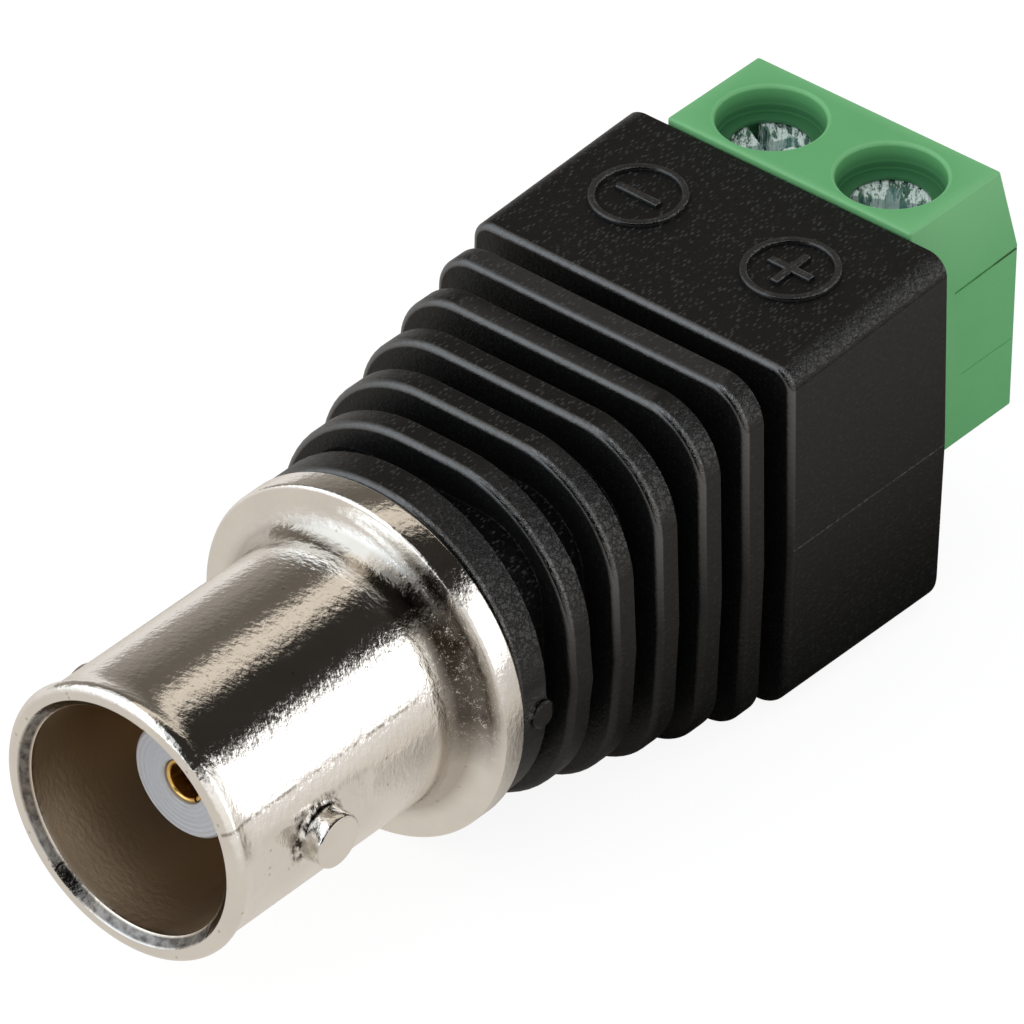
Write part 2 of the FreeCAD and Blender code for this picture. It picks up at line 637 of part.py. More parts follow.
def make_moulding():
    """Make the moulded body."""
    body = new_body("moulded_body")

    # The terminal carrier: a drafted block, wider and taller to the rear
    rear_half = get("block_half_rear")
    rear_top = get("block_top_rear")
    rear_low = get("block_low_rear")
    cut_width = (rear_half + get("cut_margin")) * 2
    carrier_outline = section_sketch(body, "carrier_outline", block_rear, rear_half, rear_top, rear_low)
    extrude(body, "Pad", "carrier", carrier_outline, get("block_length"))
    side_lean = slope_angle(get("block_half_taper"), get("block_length"))
    lean_faces(body, "carrier_sides", side_lean, block_rear,
               lambda face: abs(face.normalAt(0, 0).y) > FACE_LIMIT)
    top_wedge = new_sketch(body, "top_wedge_outline", "XZ_Plane")
    front_top = rear_top - get("block_top_taper")
    draw_outline(top_wedge, [
        (-block_rear, rear_top), (-block_front, front_top), (-block_front, rear_top)])
    extrude(body, "Pocket", "top_wedge", top_wedge, cut_width, symmetric=True)
    low_wedge = new_sketch(body, "low_wedge_outline", "XZ_Plane")
    front_low = rear_low - get("block_low_taper")
    draw_outline(low_wedge, [
        (-block_rear, -rear_low), (-block_front, -rear_low), (-block_front, -front_low)])
    extrude(body, "Pocket", "low_wedge", low_wedge, cut_width, symmetric=True)
    front = block_front.value
    rear = block_rear.value
    dress(body, "Fillet", "carrier_top_corners", get("block_corner_top"),
          lambda edge: runs_between(edge, front, rear) and edge.CenterOfMass.z > rear_half.value / 2)
    dress(body, "Fillet", "carrier_low_corners", get("block_corner_low"),
          lambda edge: runs_between(edge, front, rear) and edge.CenterOfMass.z < -rear_half.value / 2)
    dress(body, "Fillet", "carrier_front_edge", get("block_edge"), lambda edge: on_plane(edge, 0, -front))
    bevel = get("block_back_edge")
    upright = new_sketch(body, "rear_bevel_upright", "XZ_Plane")
    level = new_sketch(body, "rear_bevel_level", "XY_Plane")
    corner_cut(upright, rear_top, bevel, as_size(1))
    corner_cut(upright, rear_low, bevel, as_size(-1))
    corner_cut(level, rear_half, bevel, as_size(1))
    corner_cut(level, rear_half, bevel, as_size(-1))
    cut_height = (rear_top + get("cut_margin")) * 2
    extrude(body, "Pocket", "rear_bevels_upright", upright, cut_width, symmetric=True)
    extrude(body, "Pocket", "rear_bevels_level", level, cut_height, symmetric=True)

    # The core under the ribs
    depth = get("groove_depth")
    core_outline = section_sketch(body, "core_outline", block_front, get("rib_half_first") - depth,
                                  get("rib_top_first") - depth, get("rib_low_first") - depth)
    core_start = rib_start + get("first_rib") / 2
    extrude(body, "Pad", "core", core_outline, block_front - core_start)
    dress(body, "Fillet", "core_corners", get("core_corner"),
          lambda edge: runs_between(edge, core_start.value, front)
          and abs(edge.CenterOfMass.z) > depth.value)

    # The ribs, each with its own size and corner radius
    for index in range(RIB_COUNT):
        share = index / (RIB_COUNT - 1)
        half = between(get("rib_half_first"), get("rib_half_last"), share)
        top = between(get("rib_top_first"), get("rib_top_last"), share)
        low = between(get("rib_low_first"), get("rib_low_last"), share)
        narrow = half - low * tangent(get("side_draft_low"))
        room = least(narrow, low) - get("rib_corner_flat")
        corner = least(between(get("rib_corner_first"), get("rib_corner_last"), share), room)
        name = "rib_%d" % (index + 1)
        rib_back = first_rib_back + rib_pitch * index
        rib_front = rib_start if index == 0 else rib_back - get("rib_thickness")
        outline = section_sketch(body, name + "_outline", rib_back, half, top, low)
        extrude(body, "Pad", name, outline, rib_back - rib_front)
        dress(body, "Fillet", name + "_corners", corner,
              lambda edge: runs_between(edge, rib_front.value, rib_back.value)
              and abs(edge.CenterOfMass.z) > low.value / 2)
        face = [item for item in body.Tip.Shape.Faces
                if item.BoundBox.XLength < NEAR
                and abs(item.BoundBox.XMin + rib_front.value) < NEAR][0]
        rim = face.OuterWire.Edges
        dress(body, "Chamfer", name + "_front_edge", get("rib_edge"),
              lambda edge: any(edge.isSame(item) for item in rim))

    # Gate nub on the side of the first rib
    nub_foot = get("rib_half_first") - depth - get("gate_root")
    nub_outline = new_sketch(body, "gate_outline", "XZ_Plane", shift=-nub_foot)
    draw_circle(nub_outline, -(flange_back + get("gate_behind")), NONE, get("gate_r"))
    nub_length = get("gate_root") + depth + get("gate_proud")
    extrude(body, "Pad", "gate_nub", nub_outline, nub_length, reverse=True)

    # Raised pole marks, square to the sloping top
    top_rise = get("block_top_taper")
    mark_behind = block_front + get("mark_behind")
    mark_level = front_top + top_rise * (get("mark_behind") / get("block_length"))
    mark_slope = slope_angle(top_rise, get("block_length"))
    for name, side in (("minus", -1), ("plus", 1)):
        arm = get("mark_bar")
        half_width = get("mark_bar_width") / 2
        centre = get("mark_side") * side
        ring = mark_sketch(body, name + "_ring_outline", mark_behind, mark_level, mark_slope)
        draw_circle(ring, NONE, centre, get("mark_ring_r"))
        draw_circle(ring, NONE, centre, get("mark_ring_r") - get("mark_ring_width"))
        extrude(body, "Pad", name + "_ring", ring, get("mark_root") + get("mark_height"))
        bar = mark_sketch(body, name + "_bar_outline", mark_behind, mark_level, mark_slope)
        if side < 0:
            draw_box(bar, -half_width, half_width, centre - arm, centre + arm)
        else:
            draw_outline(bar, [
                (-half_width, centre - arm), (half_width, centre - arm),
                (half_width, centre - half_width), (arm, centre - half_width),
                (arm, centre + half_width), (half_width, centre + half_width),
                (half_width, centre + arm), (-half_width, centre + arm),
                (-half_width, centre + half_width), (-arm, centre + half_width),
                (-arm, centre - half_width), (-half_width, centre - half_width)])
        extrude(body, "Pad", name + "_bar", bar, get("mark_root") + get("mark_height"))

    # Seat of the shell's tail and of the contact behind it
    gap = get("fit_gap")
    grip_r = get("tail_r") - get("grip_depth") + gap
    first_groove = flange_back + get("grip_start")
    second_groove = first_groove + get("grip_pitch")
    tail_seat = new_sketch(body, "tail_seat_outline", "XY_Plane")
    draw_outline(tail_seat, [
        (-flange_back, NONE),
        (-flange_back, get("tail_r") + gap),
        (-(first_groove + gap), get("tail_r") + gap),
        (-(first_groove + gap), grip_r),
        (-(first_groove + get("grip_width") - gap), grip_r),
        (-(first_groove + get("grip_width") - gap), get("tail_r") + gap),
        (-(second_groove + gap), get("tail_r") + gap),
        (-(second_groove + gap), grip_r),
        (-(second_groove + get("grip_width") - gap), grip_r),
        (-(second_groove + get("grip_width") - gap), get("tail_r") + gap),
        (-(tail_end + gap), get("tail_r") + gap),
        (-(tail_end + gap), get("collar_r") + gap),
        (-(collar_end + gap), get("collar_r") + gap),
        (-(collar_end + gap), get("contact_r") + gap),
        (-get("contact_end"), get("contact_r") + gap),
        (-get("contact_end"), get("collar_solder_r") + gap),
        (-(get("contact_end") + get("collar_solder_length") + gap * 2), get("collar_solder_r") + gap),
        (-(get("contact_end") + get("collar_solder_length") + gap * 2), NONE),
    ])
    revolve(body, "Groove", "tail_seat", tail_seat, "H_Axis")

    # Seat of the terminal housing's tongue
    tongue_seat = new_sketch(body, "tongue_seat_outline", "YZ_Plane", shift=-block_rear)
    draw_box(tongue_seat, -(get("tongue_half") + gap), get("tongue_half") + gap,
             -(get("tongue_low") + gap), get("tongue_top") + gap)
    extrude(body, "Pocket", "tongue_seat", tongue_seat, get("tongue_length") + gap, reverse=True)

    # Channels of the pins, of the leads and of the solder on them
    for name, side in (("minus", -1), ("plus", 1)):
        pin_outline = new_sketch(body, name + "_pin_channel_outline", "XZ_Plane", shift=-(pole_half * side))
        draw_outline(pin_outline, pin_corners(gap))
        extrude(body, "Pocket", name + "_pin_channel", pin_outline, get("pin_width") + gap * 2,
                symmetric=True)
        start = lead_start(side)
        path = lead_path(body, name + "_lead_channel_path", side)
        ring = new_sketch(body, name + "_lead_channel_outline", "YZ_Plane", shift=-start)
        draw_circle(ring, lead_from(side), NONE, get("wire_r") + gap)
        channel = body.newObject("PartDesign::SubtractivePipe", name + "_lead_channel")
        channel.Profile = ring
        channel.Spine = path
        doc.recompute()
        bead_outline = new_sketch(body, name + "_bead_seat_outline", "YZ_Plane", shift=-(bead_end + gap))
        draw_circle(bead_outline, pole_half * side, bead_level, get("solder_r") + gap)
        extrude(body, "Pocket", name + "_bead_seat", bead_outline, get("solder_length") + gap * 2,
                reverse=True)
    collar = new_sketch(body, "ground_solder_seat_outline", "YZ_Plane", shift=-tail_end)
    draw_circle(collar, -get("cup_offset"), NONE, get("collar_solder_r") + gap)
    extrude(body, "Pocket", "ground_solder_seat", collar, get("collar_solder_length") + gap * 2)
    return body


# Terminal housing: drafted rear, two screw wells, two clamp chambers and two wire entries

def make_housing():
    """Make the two-pole terminal housing."""
    body = new_body("terminal_housing")
    half = get("housing_width") / 2
    profile = new_sketch(body, "housing_profile", "XZ_Plane")
    top = get("housing_top")
    low = get("housing_low")
    face_gap = get("fit_gap")
    draw_outline(profile, [
        (-(block_rear + face_gap), top),
        (-(block_rear + get("housing_ridge")), top),
        (-housing_rear, get("slope_foot")),
        (-(housing_rear - get("rear_lean")), -low),
        (-(block_rear + face_gap), -low),
    ])
    extrude(body, "Pad", "housing_block", profile, get("housing_width"), symmetric=True)
    edge_places = (-(block_rear + get("housing_ridge")), -housing_rear, -(housing_rear - get("rear_lean")))
    dress(body, "Chamfer", "housing_edges", get("housing_edge"),
          lambda edge: any(on_plane(edge, 0, place.value) for place in edge_places)
          or (edge.BoundBox.XLength > NEAR
              and (on_plane(edge, 1, half.value) or on_plane(edge, 1, -half.value))))

    tongue = new_sketch(body, "tongue_outline", "YZ_Plane", shift=-tongue_front)
    draw_box(tongue, -get("tongue_half"), get("tongue_half"), -get("tongue_low"), get("tongue_top"))
    extrude(body, "Pad", "tongue", tongue, get("tongue_length") + face_gap * 2, reverse=True)

    # Screw well, keeper ring and head chamber of the minus pole, turned about the screw's axis
    foot = top - get("well_depth")
    keeper_low = foot - get("keeper_thickness")
    head_room = get("head_r") + get("slide_gap")
    well = new_sketch(body, "well_profile", "XZ_Plane", shift=pole_half, along=-pole_axis)
    shelf_top = head_low - get("head_gap")
    chamber_top = shelf_top - get("shelf_thickness")
    shank_room = get("shank_r") + get("shelf_gap")
    draw_outline(well, [
        (NONE, chamber_top), (shank_room, chamber_top), (shank_room, shelf_top),
        (head_room, shelf_top), (head_room, keeper_low),
        (get("keeper_r"), keeper_low), (get("keeper_r"), foot), (get("well_foot_r"), foot),
        (get("well_foot_r"), top - get("well_step")), (get("well_r"), top - get("well_step")),
        (get("well_r"), top + get("cut_margin")), (NONE, top + get("cut_margin")),
    ])
    well_cut = revolve(body, "Groove", "well", well, "V_Axis")

    chamber_low = get("chamber_floor") - low
    chamber = new_sketch(body, "chamber_outline", "XY_Plane", shift=chamber_low)
    draw_box(chamber, -(pole_axis + chamber_half), -(pole_axis - chamber_half),
             -(pole_half + chamber_half), -(pole_half - chamber_half))
    chamber_cut = extrude(body, "Pocket", "chamber", chamber, chamber_top - chamber_low, reverse=True)

    entry = new_sketch(body, "entry_outline", "YZ_Plane", shift=-housing_rear)
    draw_box(entry, -(pole_half + get("entry_half")), -(pole_half - get("entry_half")),
             -get("entry_low"), get("entry_top"))
    entry_cut = extrude(body, "Pocket", "entry", entry, housing_rear - pole_axis - chamber_half / 2,
                        reverse=True)

    slot = new_sketch(body, "strip_slot_outline", "YZ_Plane", shift=-(pole_axis - chamber_half / 2))
    slot_half = get("pin_width") / 2 + face_gap
    draw_box(slot, -(pole_half + slot_half), -(pole_half - slot_half),
             get("strip_low") - face_gap, get("strip_low") + get("strip_thickness") + face_gap)
    slot_cut = extrude(body, "Pocket", "strip_slot", slot,
                       pole_axis - chamber_half / 2 - tongue_front + face_gap, reverse=True)

    seam_floor = half - get("side_seam_depth")
    seam = new_sketch(body, "side_seam_outline", "XZ_Plane", shift=seam_floor)
    seam_level = top - get("side_seam_drop")
    draw_box(seam, -housing_rear, -(housing_rear - get("side_seam_length")),
             seam_level - get("side_seam_width"), seam_level)
    seam_cut = extrude(body, "Pocket", "side_seam", seam, get("side_seam_depth"), reverse=True)

    mirror_across(body, "plus_pole", [well_cut, chamber_cut, entry_cut, slot_cut, seam_cut])
    rim = get("well_r").value
    dress(body, "Chamfer", "mouth_bevels", get("mouth_bevel"),
          lambda edge: on_plane(edge, 2, top.value) and abs(edge.BoundBox.XLength - 2 * rim) < NEAR)
    entry_side = (pole_half + get("entry_half")).value
    dress(body, "Chamfer", "entry_mouths", get("entry_bevel"),
          lambda edge: edge.BoundBox.XMax < -(housing_rear - get("rear_lean")).value + NEAR
          and abs(edge.CenterOfMass.y) < entry_side + NEAR
          and edge.BoundBox.ZMin > -get("entry_low").value - NEAR
          and edge.BoundBox.ZMax < get("entry_top").value + NEAR)
    return body


# Clamp: screw, rising cage and contact strip of one pole

def make_screw(label, side, turn):
    """Make a clamp screw with a slotted cross recess."""
    body = new_body(label)
    bevel = get("head_bevel")
    profile = new_sketch(body, "screw_profile", "XZ_Plane")
    shank_low = head_low - get("shank_length")
    tip = get("shank_r") - get("shank_bevel")
    draw_outline(profile, [
        (NONE, head_top), (get("head_r") - bevel, head_top), (get("head_r"), head_top - bevel),
        (get("head_r"), head_low), (get("shank_r"), head_low),
        (get("shank_r"), shank_low + get("shank_bevel")), (tip, shank_low), (NONE, shank_low),
    ])
    revolve(body, "Revolution", "screw_turned", profile, "V_Axis")
    half_width = get("drive_width") / 2
    arm = get("drive_half")
    slot = new_sketch(body, "slot_outline", "XY_Plane", shift=head_top)
    draw_box(slot, -get("head_r"), get("head_r"), -half_width, half_width)
    extrude(body, "Pocket", "slot", slot, get("drive_depth"))
    cross = new_sketch(body, "cross_outline", "XY_Plane", shift=head_top)
    draw_box(cross, -half_width, half_width, -arm, arm)
    extrude(body, "Pocket", "cross", cross, get("drive_depth"))
    stand(body, -pole_axis, pole_half * side, turn)
    return body


def make_cage(label, side):
    """Make the cage that rises along the screw and clamps a wire under the strip."""
    body = new_body(label)
    half = get("cage_size") / 2
    low = -get("cage_low")
    window_low = low + get("cage_floor")
    window_top = window_low + get("window_height")
    frame = new_sketch(body, "cage_outline", "YZ_Plane")
    draw_box(frame, -half, half, low, window_top + get("nut_height"))
    draw_box(frame, get("cage_wall") - half, half - get("cage_wall"), window_low, window_top)
    extrude(body, "Pad", "cage", frame, get("cage_size"), symmetric=True)
    bore = new_sketch(body, "thread_outline", "XY_Plane", shift=window_top + get("nut_height"))
    draw_circle(bore, NONE, NONE, get("shank_r") + get("thread_gap"))
    extrude(body, "Pocket", "thread_hole", bore, get("nut_height") + get("window_height"))
    stand(body, -pole_axis, pole_half * side, NONE)
    return body


def pin_corners(gap):
    """Return the outline of a strip's bent pin in side view, grown by a gap."""
    level = get("strip_low")
    thickness = get("strip_thickness")
    shoulder = block_rear + get("strip_front")
    return [
        (-shoulder, level - gap),
        (-(pin_up_back + gap), level - gap),
        (-(pin_up_back + gap), pin_top - thickness - gap),
        (-(pin_end - gap), pin_top - thickness - gap),
        (-(pin_end - gap), pin_top + gap),
        (-(pin_up_front - gap), pin_top + gap),
        (-(pin_up_front - gap), level + thickness + gap),
        (-shoulder, level + thickness + gap),
    ]


def make_strip(label, side):
    """Make a contact strip: a wide part under the screw and a pin bent down towards the socket."""
    body = new_body(label)
    pin = new_sketch(body, "pin_outline", "XZ_Plane")
    draw_outline(pin, pin_corners(NONE))
    extrude(body, "Pad", "pin", pin, get("pin_width"), symmetric=True)
    plate = new_sketch(body, "plate_outline", "XY_Plane", shift=get("strip_low"))
    half = get("strip_width") / 2
    draw_box(plate, -(block_rear + get("strip_reach")), -(block_rear + get("strip_front")), -half, half)
    extrude(body, "Pad", "plate", plate, get("strip_thickness"))
    stand(body, NONE, pole_half * side, NONE)
    return body


def stand(body, along, across, turn):
    """Place a body along and across the object and turn it about the vertical."""
    body.Placement = Placement(
        Vector(along.value, across.value, 0), Rotation(Vector(0, 0, 1), turn.value))
    body.setExpression("Placement.Base.x", along.text)
    body.setExpression("Placement.Base.y", across.text)
    body.setExpression("Placement.Rotation.Angle", turn.text)


# Leads and solder

def lead_from(side):
    """Return where a lead starts across the axis: centre contact or the shell's solder hole."""
    return -get("cup_offset") if side < 0 else NONE


def lead_start(side):
    """Return where a lead starts along the object, at the bottom of its solder hole."""
    return (tail_end if side < 0 else get("contact_end")) - get("cup_depth") + get("fit_gap")


def lead_path(body, name, side):
    """Draw a lead's route from its solder hole to its pin: runs joined by tangent arcs."""
    sketch = new_sketch(body, name, "XY_Plane")
    start_y = lead_from(side)
    end_y = pole_half * side
    shift = end_y - start_y
    slant = get("lead_slant")
    bend = get("bend_r")
    cosine = Size("cos(%s)" % slant.text, math.cos(math.radians(slant.value)))
    sine = Size("sin(%s)" % slant.text, math.sin(math.radians(slant.value)))
    first_x = -(lead_start(side) + get("cup_depth") + get("lead_straight"))
    arc_rise = bend * (as_size(1) - cosine)
    run_rise = shift - arc_rise * 2
    run_length = run_rise / tangent(slant)
    a = (first_x, start_y)
    b = (first_x - bend * sine, start_y + arc_rise)
    c = (b[0] - run_length, b[1] + run_rise)
    d = (c[0] - bend * sine, end_y)
    end = (-lead_end, end_y)
    route = [(-lead_start(side), start_y), a, b, c, d, end]
    spots = [Vector(across.value, upward.value, 0) for across, upward in route]
    half_turn = math.radians(slant.value / 2)
    reach = Vector(math.sin(half_turn), math.cos(half_turn), 0) * bend.value
    first_centre = spots[1] + Vector(0, bend.value, 0)
    last_centre = spots[4] - Vector(0, bend.value, 0)
    sketch.addGeometry(Part.LineSegment(spots[0], spots[1]), False)
    sketch.addGeometry(Part.Arc(spots[1], first_centre - reach, spots[2]), False)
    sketch.addGeometry(Part.LineSegment(spots[2], spots[3]), False)
    sketch.addGeometry(Part.Arc(spots[3], last_centre + reach, spots[4]), False)
    sketch.addGeometry(Part.LineSegment(spots[4], spots[5]), False)
    place_point(sketch, 0, 1, *route[0])
    place_point(sketch, 0, 2, *route[1])
    place_point(sketch, 2, 1, *route[2])
    place_point(sketch, 2, 2, *route[3])
    place_point(sketch, 4, 1, *route[4])
    place_point(sketch, 4, 2, *route[5])
    for arc, line_before, line_after in ((1, 0, 2), (3, 2, 4)):
        held = sketch.addConstraint(Sketcher.Constraint("Radius", arc, bend.value))
        sketch.setExpression("Constraints[%d]" % held, bend.text)
        for line, line_end in ((line_before, 2), (line_after, 1)):
            spot = sketch.getPoint(line, line_end)
            arc_end = 1 if sketch.getPoint(arc, 1).distanceToPoint(spot) < bend.value / 8 else 2
            sketch.addConstraint(Sketcher.Constraint("Coincident", line, line_end, arc, arc_end))
    return sketch


def make_lead(label, side):
    """Make a lead: a round wire along its route."""
    body = new_body(label)
    path = lead_path(body, "route", side)
    ring = new_sketch(body, "wire_outline", "YZ_Plane", shift=-lead_start(side))
    draw_circle(ring, lead_from(side), NONE, get("wire_r"))
    wire = body.newObject("PartDesign::AdditivePipe", "wire")
    wire.Profile = ring
    wire.Spine = path
    doc.recompute()
    return body


def make_ring_solder(label, behind, across):
    """Make the solder round a lead at the mouth of its solder hole."""
    body = new_body(label)
    ring = new_sketch(body, "ring_outline", "YZ_Plane",
                      shift=-(behind + get("fit_gap") + get("collar_solder_length")))
    draw_circle(ring, across, NONE, get("collar_solder_r"))
    draw_circle(ring, across, NONE, get("wire_r") + get("fit_gap"))
    extrude(body, "Pad", "ring", ring, get("collar_solder_length"))
    return body


def make_bead_solder(label, side):
    """Make the solder bead that joins a lead to its pin."""
    body = new_body(label)
    gap = get("fit_gap")
    half_length = get("solder_length") / 2
    outline = new_sketch(body, "bead_outline", "YZ_Plane", shift=-half_length)
    draw_circle(outline, NONE, bead_level, get("solder_r"))
    extrude(body, "Pad", "bead", outline, get("solder_length"))
    dress(body, "Chamfer", "bead_ends", get("solder_bevel"),
          lambda edge: on_plane(edge, 0, half_length.value) or on_plane(edge, 0, -half_length.value))
    wire = new_sketch(body, "wire_hole_outline", "YZ_Plane")
    draw_circle(wire, NONE, NONE, get("wire_r") + gap)
    extrude(body, "Pocket", "wire_hole", wire, get("solder_length") * 2, symmetric=True)
    pin = new_sketch(body, "pin_hole_outline", "YZ_Plane")
    half = get("pin_width") / 2 + gap
    draw_box(pin, -half, half, pin_top - get("strip_thickness") - gap, pin_top + gap)
    extrude(body, "Pocket", "pin_hole", pin, get("solder_length") * 2, symmetric=True)
    stand(body, -bead_behind, pole_half * side, NONE)
    return body


def finish_check(bodies):
    """Stop if any object failed or any piece is empty or not valid."""
    for item in doc.Objects:
        if "Invalid" in item.State or "Error" in item.State:
            raise ValueError("object failed: %s %s" % (item.Name, item.State))
    for body in bodies:
        if body.Shape.isNull() or not body.Shape.isValid():
            raise ValueError("piece not valid: " + body.Label)


MINUS = -1
PLUS = 1

pieces = [
    make_shell(),
    make_insulator(),
    make_contact(),
    make_moulding(),
    make_housing(),
    make_screw("clamp_screw_minus", MINUS, get("drive_turn_minus")),
    make_screw("clamp_screw_plus", PLUS, get("drive_turn_plus")),
    make_cage("clamp_cage_minus", MINUS),
    make_cage("clamp_cage_plus", PLUS),
    make_strip("contact_strip_minus", MINUS),
    make_strip("contact_strip_plus", PLUS),
    make_lead("ground_lead", MINUS),
    make_lead("signal_lead", PLUS),
    make_ring_solder("solder_ground", tail_end, -get("cup_offset")),
    make_ring_solder("solder_center", get("contact_end"), NONE),
    make_bead_solder("solder_minus", MINUS),
    make_bead_solder("solder_plus", PLUS),
]
doc.recompute()
finish_check(pieces)

os.makedirs("parts", exist_ok=True)
for piece in pieces:
    piece.Shape.exportStep("parts/%s.step" % piece.Label)
    print(piece.Label, round(piece.Shape.Volume, 3), len(piece.Shape.Faces))
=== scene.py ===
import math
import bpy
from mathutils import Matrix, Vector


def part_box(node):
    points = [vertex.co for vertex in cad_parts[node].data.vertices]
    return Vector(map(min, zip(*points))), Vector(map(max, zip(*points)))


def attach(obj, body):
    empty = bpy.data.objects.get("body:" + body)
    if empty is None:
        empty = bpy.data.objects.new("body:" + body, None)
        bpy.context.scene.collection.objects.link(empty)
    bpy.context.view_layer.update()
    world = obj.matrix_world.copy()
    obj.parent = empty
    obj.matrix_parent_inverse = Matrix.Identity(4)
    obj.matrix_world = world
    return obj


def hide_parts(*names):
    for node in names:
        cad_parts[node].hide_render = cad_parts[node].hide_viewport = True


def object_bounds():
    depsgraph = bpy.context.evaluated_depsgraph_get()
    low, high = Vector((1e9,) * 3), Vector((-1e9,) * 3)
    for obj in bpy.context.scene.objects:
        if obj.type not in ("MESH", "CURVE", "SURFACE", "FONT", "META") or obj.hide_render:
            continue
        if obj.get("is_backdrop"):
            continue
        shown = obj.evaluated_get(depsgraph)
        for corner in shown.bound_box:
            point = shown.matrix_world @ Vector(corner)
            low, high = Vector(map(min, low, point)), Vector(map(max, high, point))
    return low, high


bl_info = {
    "name": "Coaxial Terminal Adapter",
    "version": (1, 0, 0),
    "blender": (4, 5, 0),
    "location": "3D View > Sidebar > Adapter",
    "description": "Dresses a bayonet coaxial socket on a ribbed body with a screw terminal block",
    "category": "Object",
}

import bmesh
import bpy
from bpy.props import FloatProperty, FloatVectorProperty, IntProperty, PointerProperty
from mathutils import Matrix, Vector

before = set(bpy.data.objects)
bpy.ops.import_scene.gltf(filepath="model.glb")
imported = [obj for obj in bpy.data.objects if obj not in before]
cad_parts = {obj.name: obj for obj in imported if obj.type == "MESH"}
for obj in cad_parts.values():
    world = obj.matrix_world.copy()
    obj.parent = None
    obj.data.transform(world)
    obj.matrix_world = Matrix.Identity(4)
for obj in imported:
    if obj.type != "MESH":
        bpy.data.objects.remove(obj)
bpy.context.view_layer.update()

# Distances are in metres, as in the frame. Sizes are written in millimetres and scaled by MM.
MM = 0.001
ROOT = "adapter"
FULL_TURN = 2 * math.pi
QUARTER = math.pi / 2

# Places that more than one piece uses
FIRST_BACK = 13.38 * MM
SEAT_WALL = 9.9 * MM
TAIL_END = 18.96 * MM
POLE_X = -34.85 * MM
BLOCK_FRONT = -32.62 * MM


# Properties: the sizes and colours that a user would change

def length(name, description, size):
    """A length property whose default is given in millimetres."""
    return FloatProperty(name=name, description=description, default=size * MM,
                         unit="LENGTH", precision=5)


def tint(name, description, colour):
    """A colour property in linear values."""
    return FloatVectorProperty(name=name, description=description, default=colour,
                               subtype="COLOR", size=3, min=0.0, max=1.0)


class ShellSizes(bpy.types.PropertyGroup):
    barrel: length("Barrel", "Outer radius of the barrel", 4.77)
    mouth: length("Mouth", "Inner radius of the barrel", 4.08)
    lip: length("Lip", "Outer radius of the slightly flared lip", 4.93)
    lip_length: length("Lip length", "Length of the flare behind the lip", 0.9)
    lip_bevel: length("Lip bevel", "Bevel inside the mouth", 0.32)
    bore_depth: length("Bore depth", "Depth of the open socket", 8.9)
    flange_front: length("Flange front", "Mouth to the front face of the flange", 10.99)
    flange_back: length("Flange back", "Mouth to the rear face of the flange", 12.04)
    flange: length("Flange", "Radius of the flange", 6.33)
    flange_round: length("Flange round", "Edge rounds of the flange", 0.14)
    cove: length("Cove", "Concave round between barrel and flange", 1.02)
    lug_behind: length("Lug position", "Mouth to the axis of the bayonet lugs", 4.07)
    lug: length("Lug", "Radius of a bayonet lug", 0.96)
    lug_reach: length("Lug reach", "Axis of the socket to the end of a lug", 5.5)
    turn: FloatProperty(name="Turn", description="Turn of the shell about its axis",
                        default=math.radians(-2.9), subtype="ANGLE")
    segments: IntProperty(name="Segments", description="Segments round the shell", default=192)


class ContactSizes(bpy.types.PropertyGroup):
    nose: length("Nose", "Radius of the insulator's nose", 2.02)
    nose_behind: length("Nose position", "Mouth to the insulator's face", 2.85)
    shoulder: length("Shoulder", "Radius of the insulator behind the seat wall", 2.6)
    contact: length("Contact", "Radius of the centre contact", 0.79)
    contact_behind: length("Contact position", "Mouth to the tip of the contact", 2.92)
    hole: length("Hole", "Radius of the hole for the mating pin", 0.61)
    hole_depth: length("Hole depth", "Depth of the hole for the mating pin", 5.5)
    ring_wave: length("Ring wave", "Height of the turned rings on the insulator's face", 0.008)


class BodySizes(bpy.types.PropertyGroup):
    rib_count: IntProperty(name="Ribs", description="Number of grip ribs", default=6)
    rib: length("Rib", "Thickness of a rib", 0.96)
    groove: length("Groove", "Gap between two ribs", 1.07)
    rib_edge: length("Rib edge", "Round on the front edge of a rib", 0.24)
    block_length: length("Block length", "Length of the terminal carrier", 8.0)
    block_edge: length("Block edge", "Round on the front edge of the carrier", 0.24)
    corner_top: length("Top corner", "Corner radius along the carrier's top", 0.8)
    corner_low: length("Low corner", "Corner radius along the carrier's bottom", 1.25)
    mark_height: length("Mark height", "Height of the pole marks", 0.17)
    mark_ring: length("Mark ring", "Outer radius of a pole mark's ring", 1.68)


class TerminalSizes(bpy.types.PropertyGroup):
    half: length("Half width", "Half width of the terminal block", 5.13)
    top: length("Top", "Height of the block's top above the axis", 7.5)
    low: length("Low", "Depth of the block's bottom below the axis", 2.47)
    edge: length("Edge", "Round on the block's outer edges", 0.1)
    pitch: length("Pole pitch", "Spacing of the two poles", 5.08)
    well: length("Well", "Radius of a screw well at its mouth", 1.86)
    well_round: length("Well round", "Round at the mouth of a screw well", 0.14)
    well_foot: length("Well foot", "Radius of a screw well at its foot", 1.78)
    well_depth: length("Well depth", "Depth of a screw well", 1.02)
    head: length("Screw head", "Radius of a screw head", 1.74)
    shank: length("Shank", "Radius of a screw shank", 1.45)
    thread_pitch: length("Thread pitch", "Rise of the thread in one turn", 0.5)


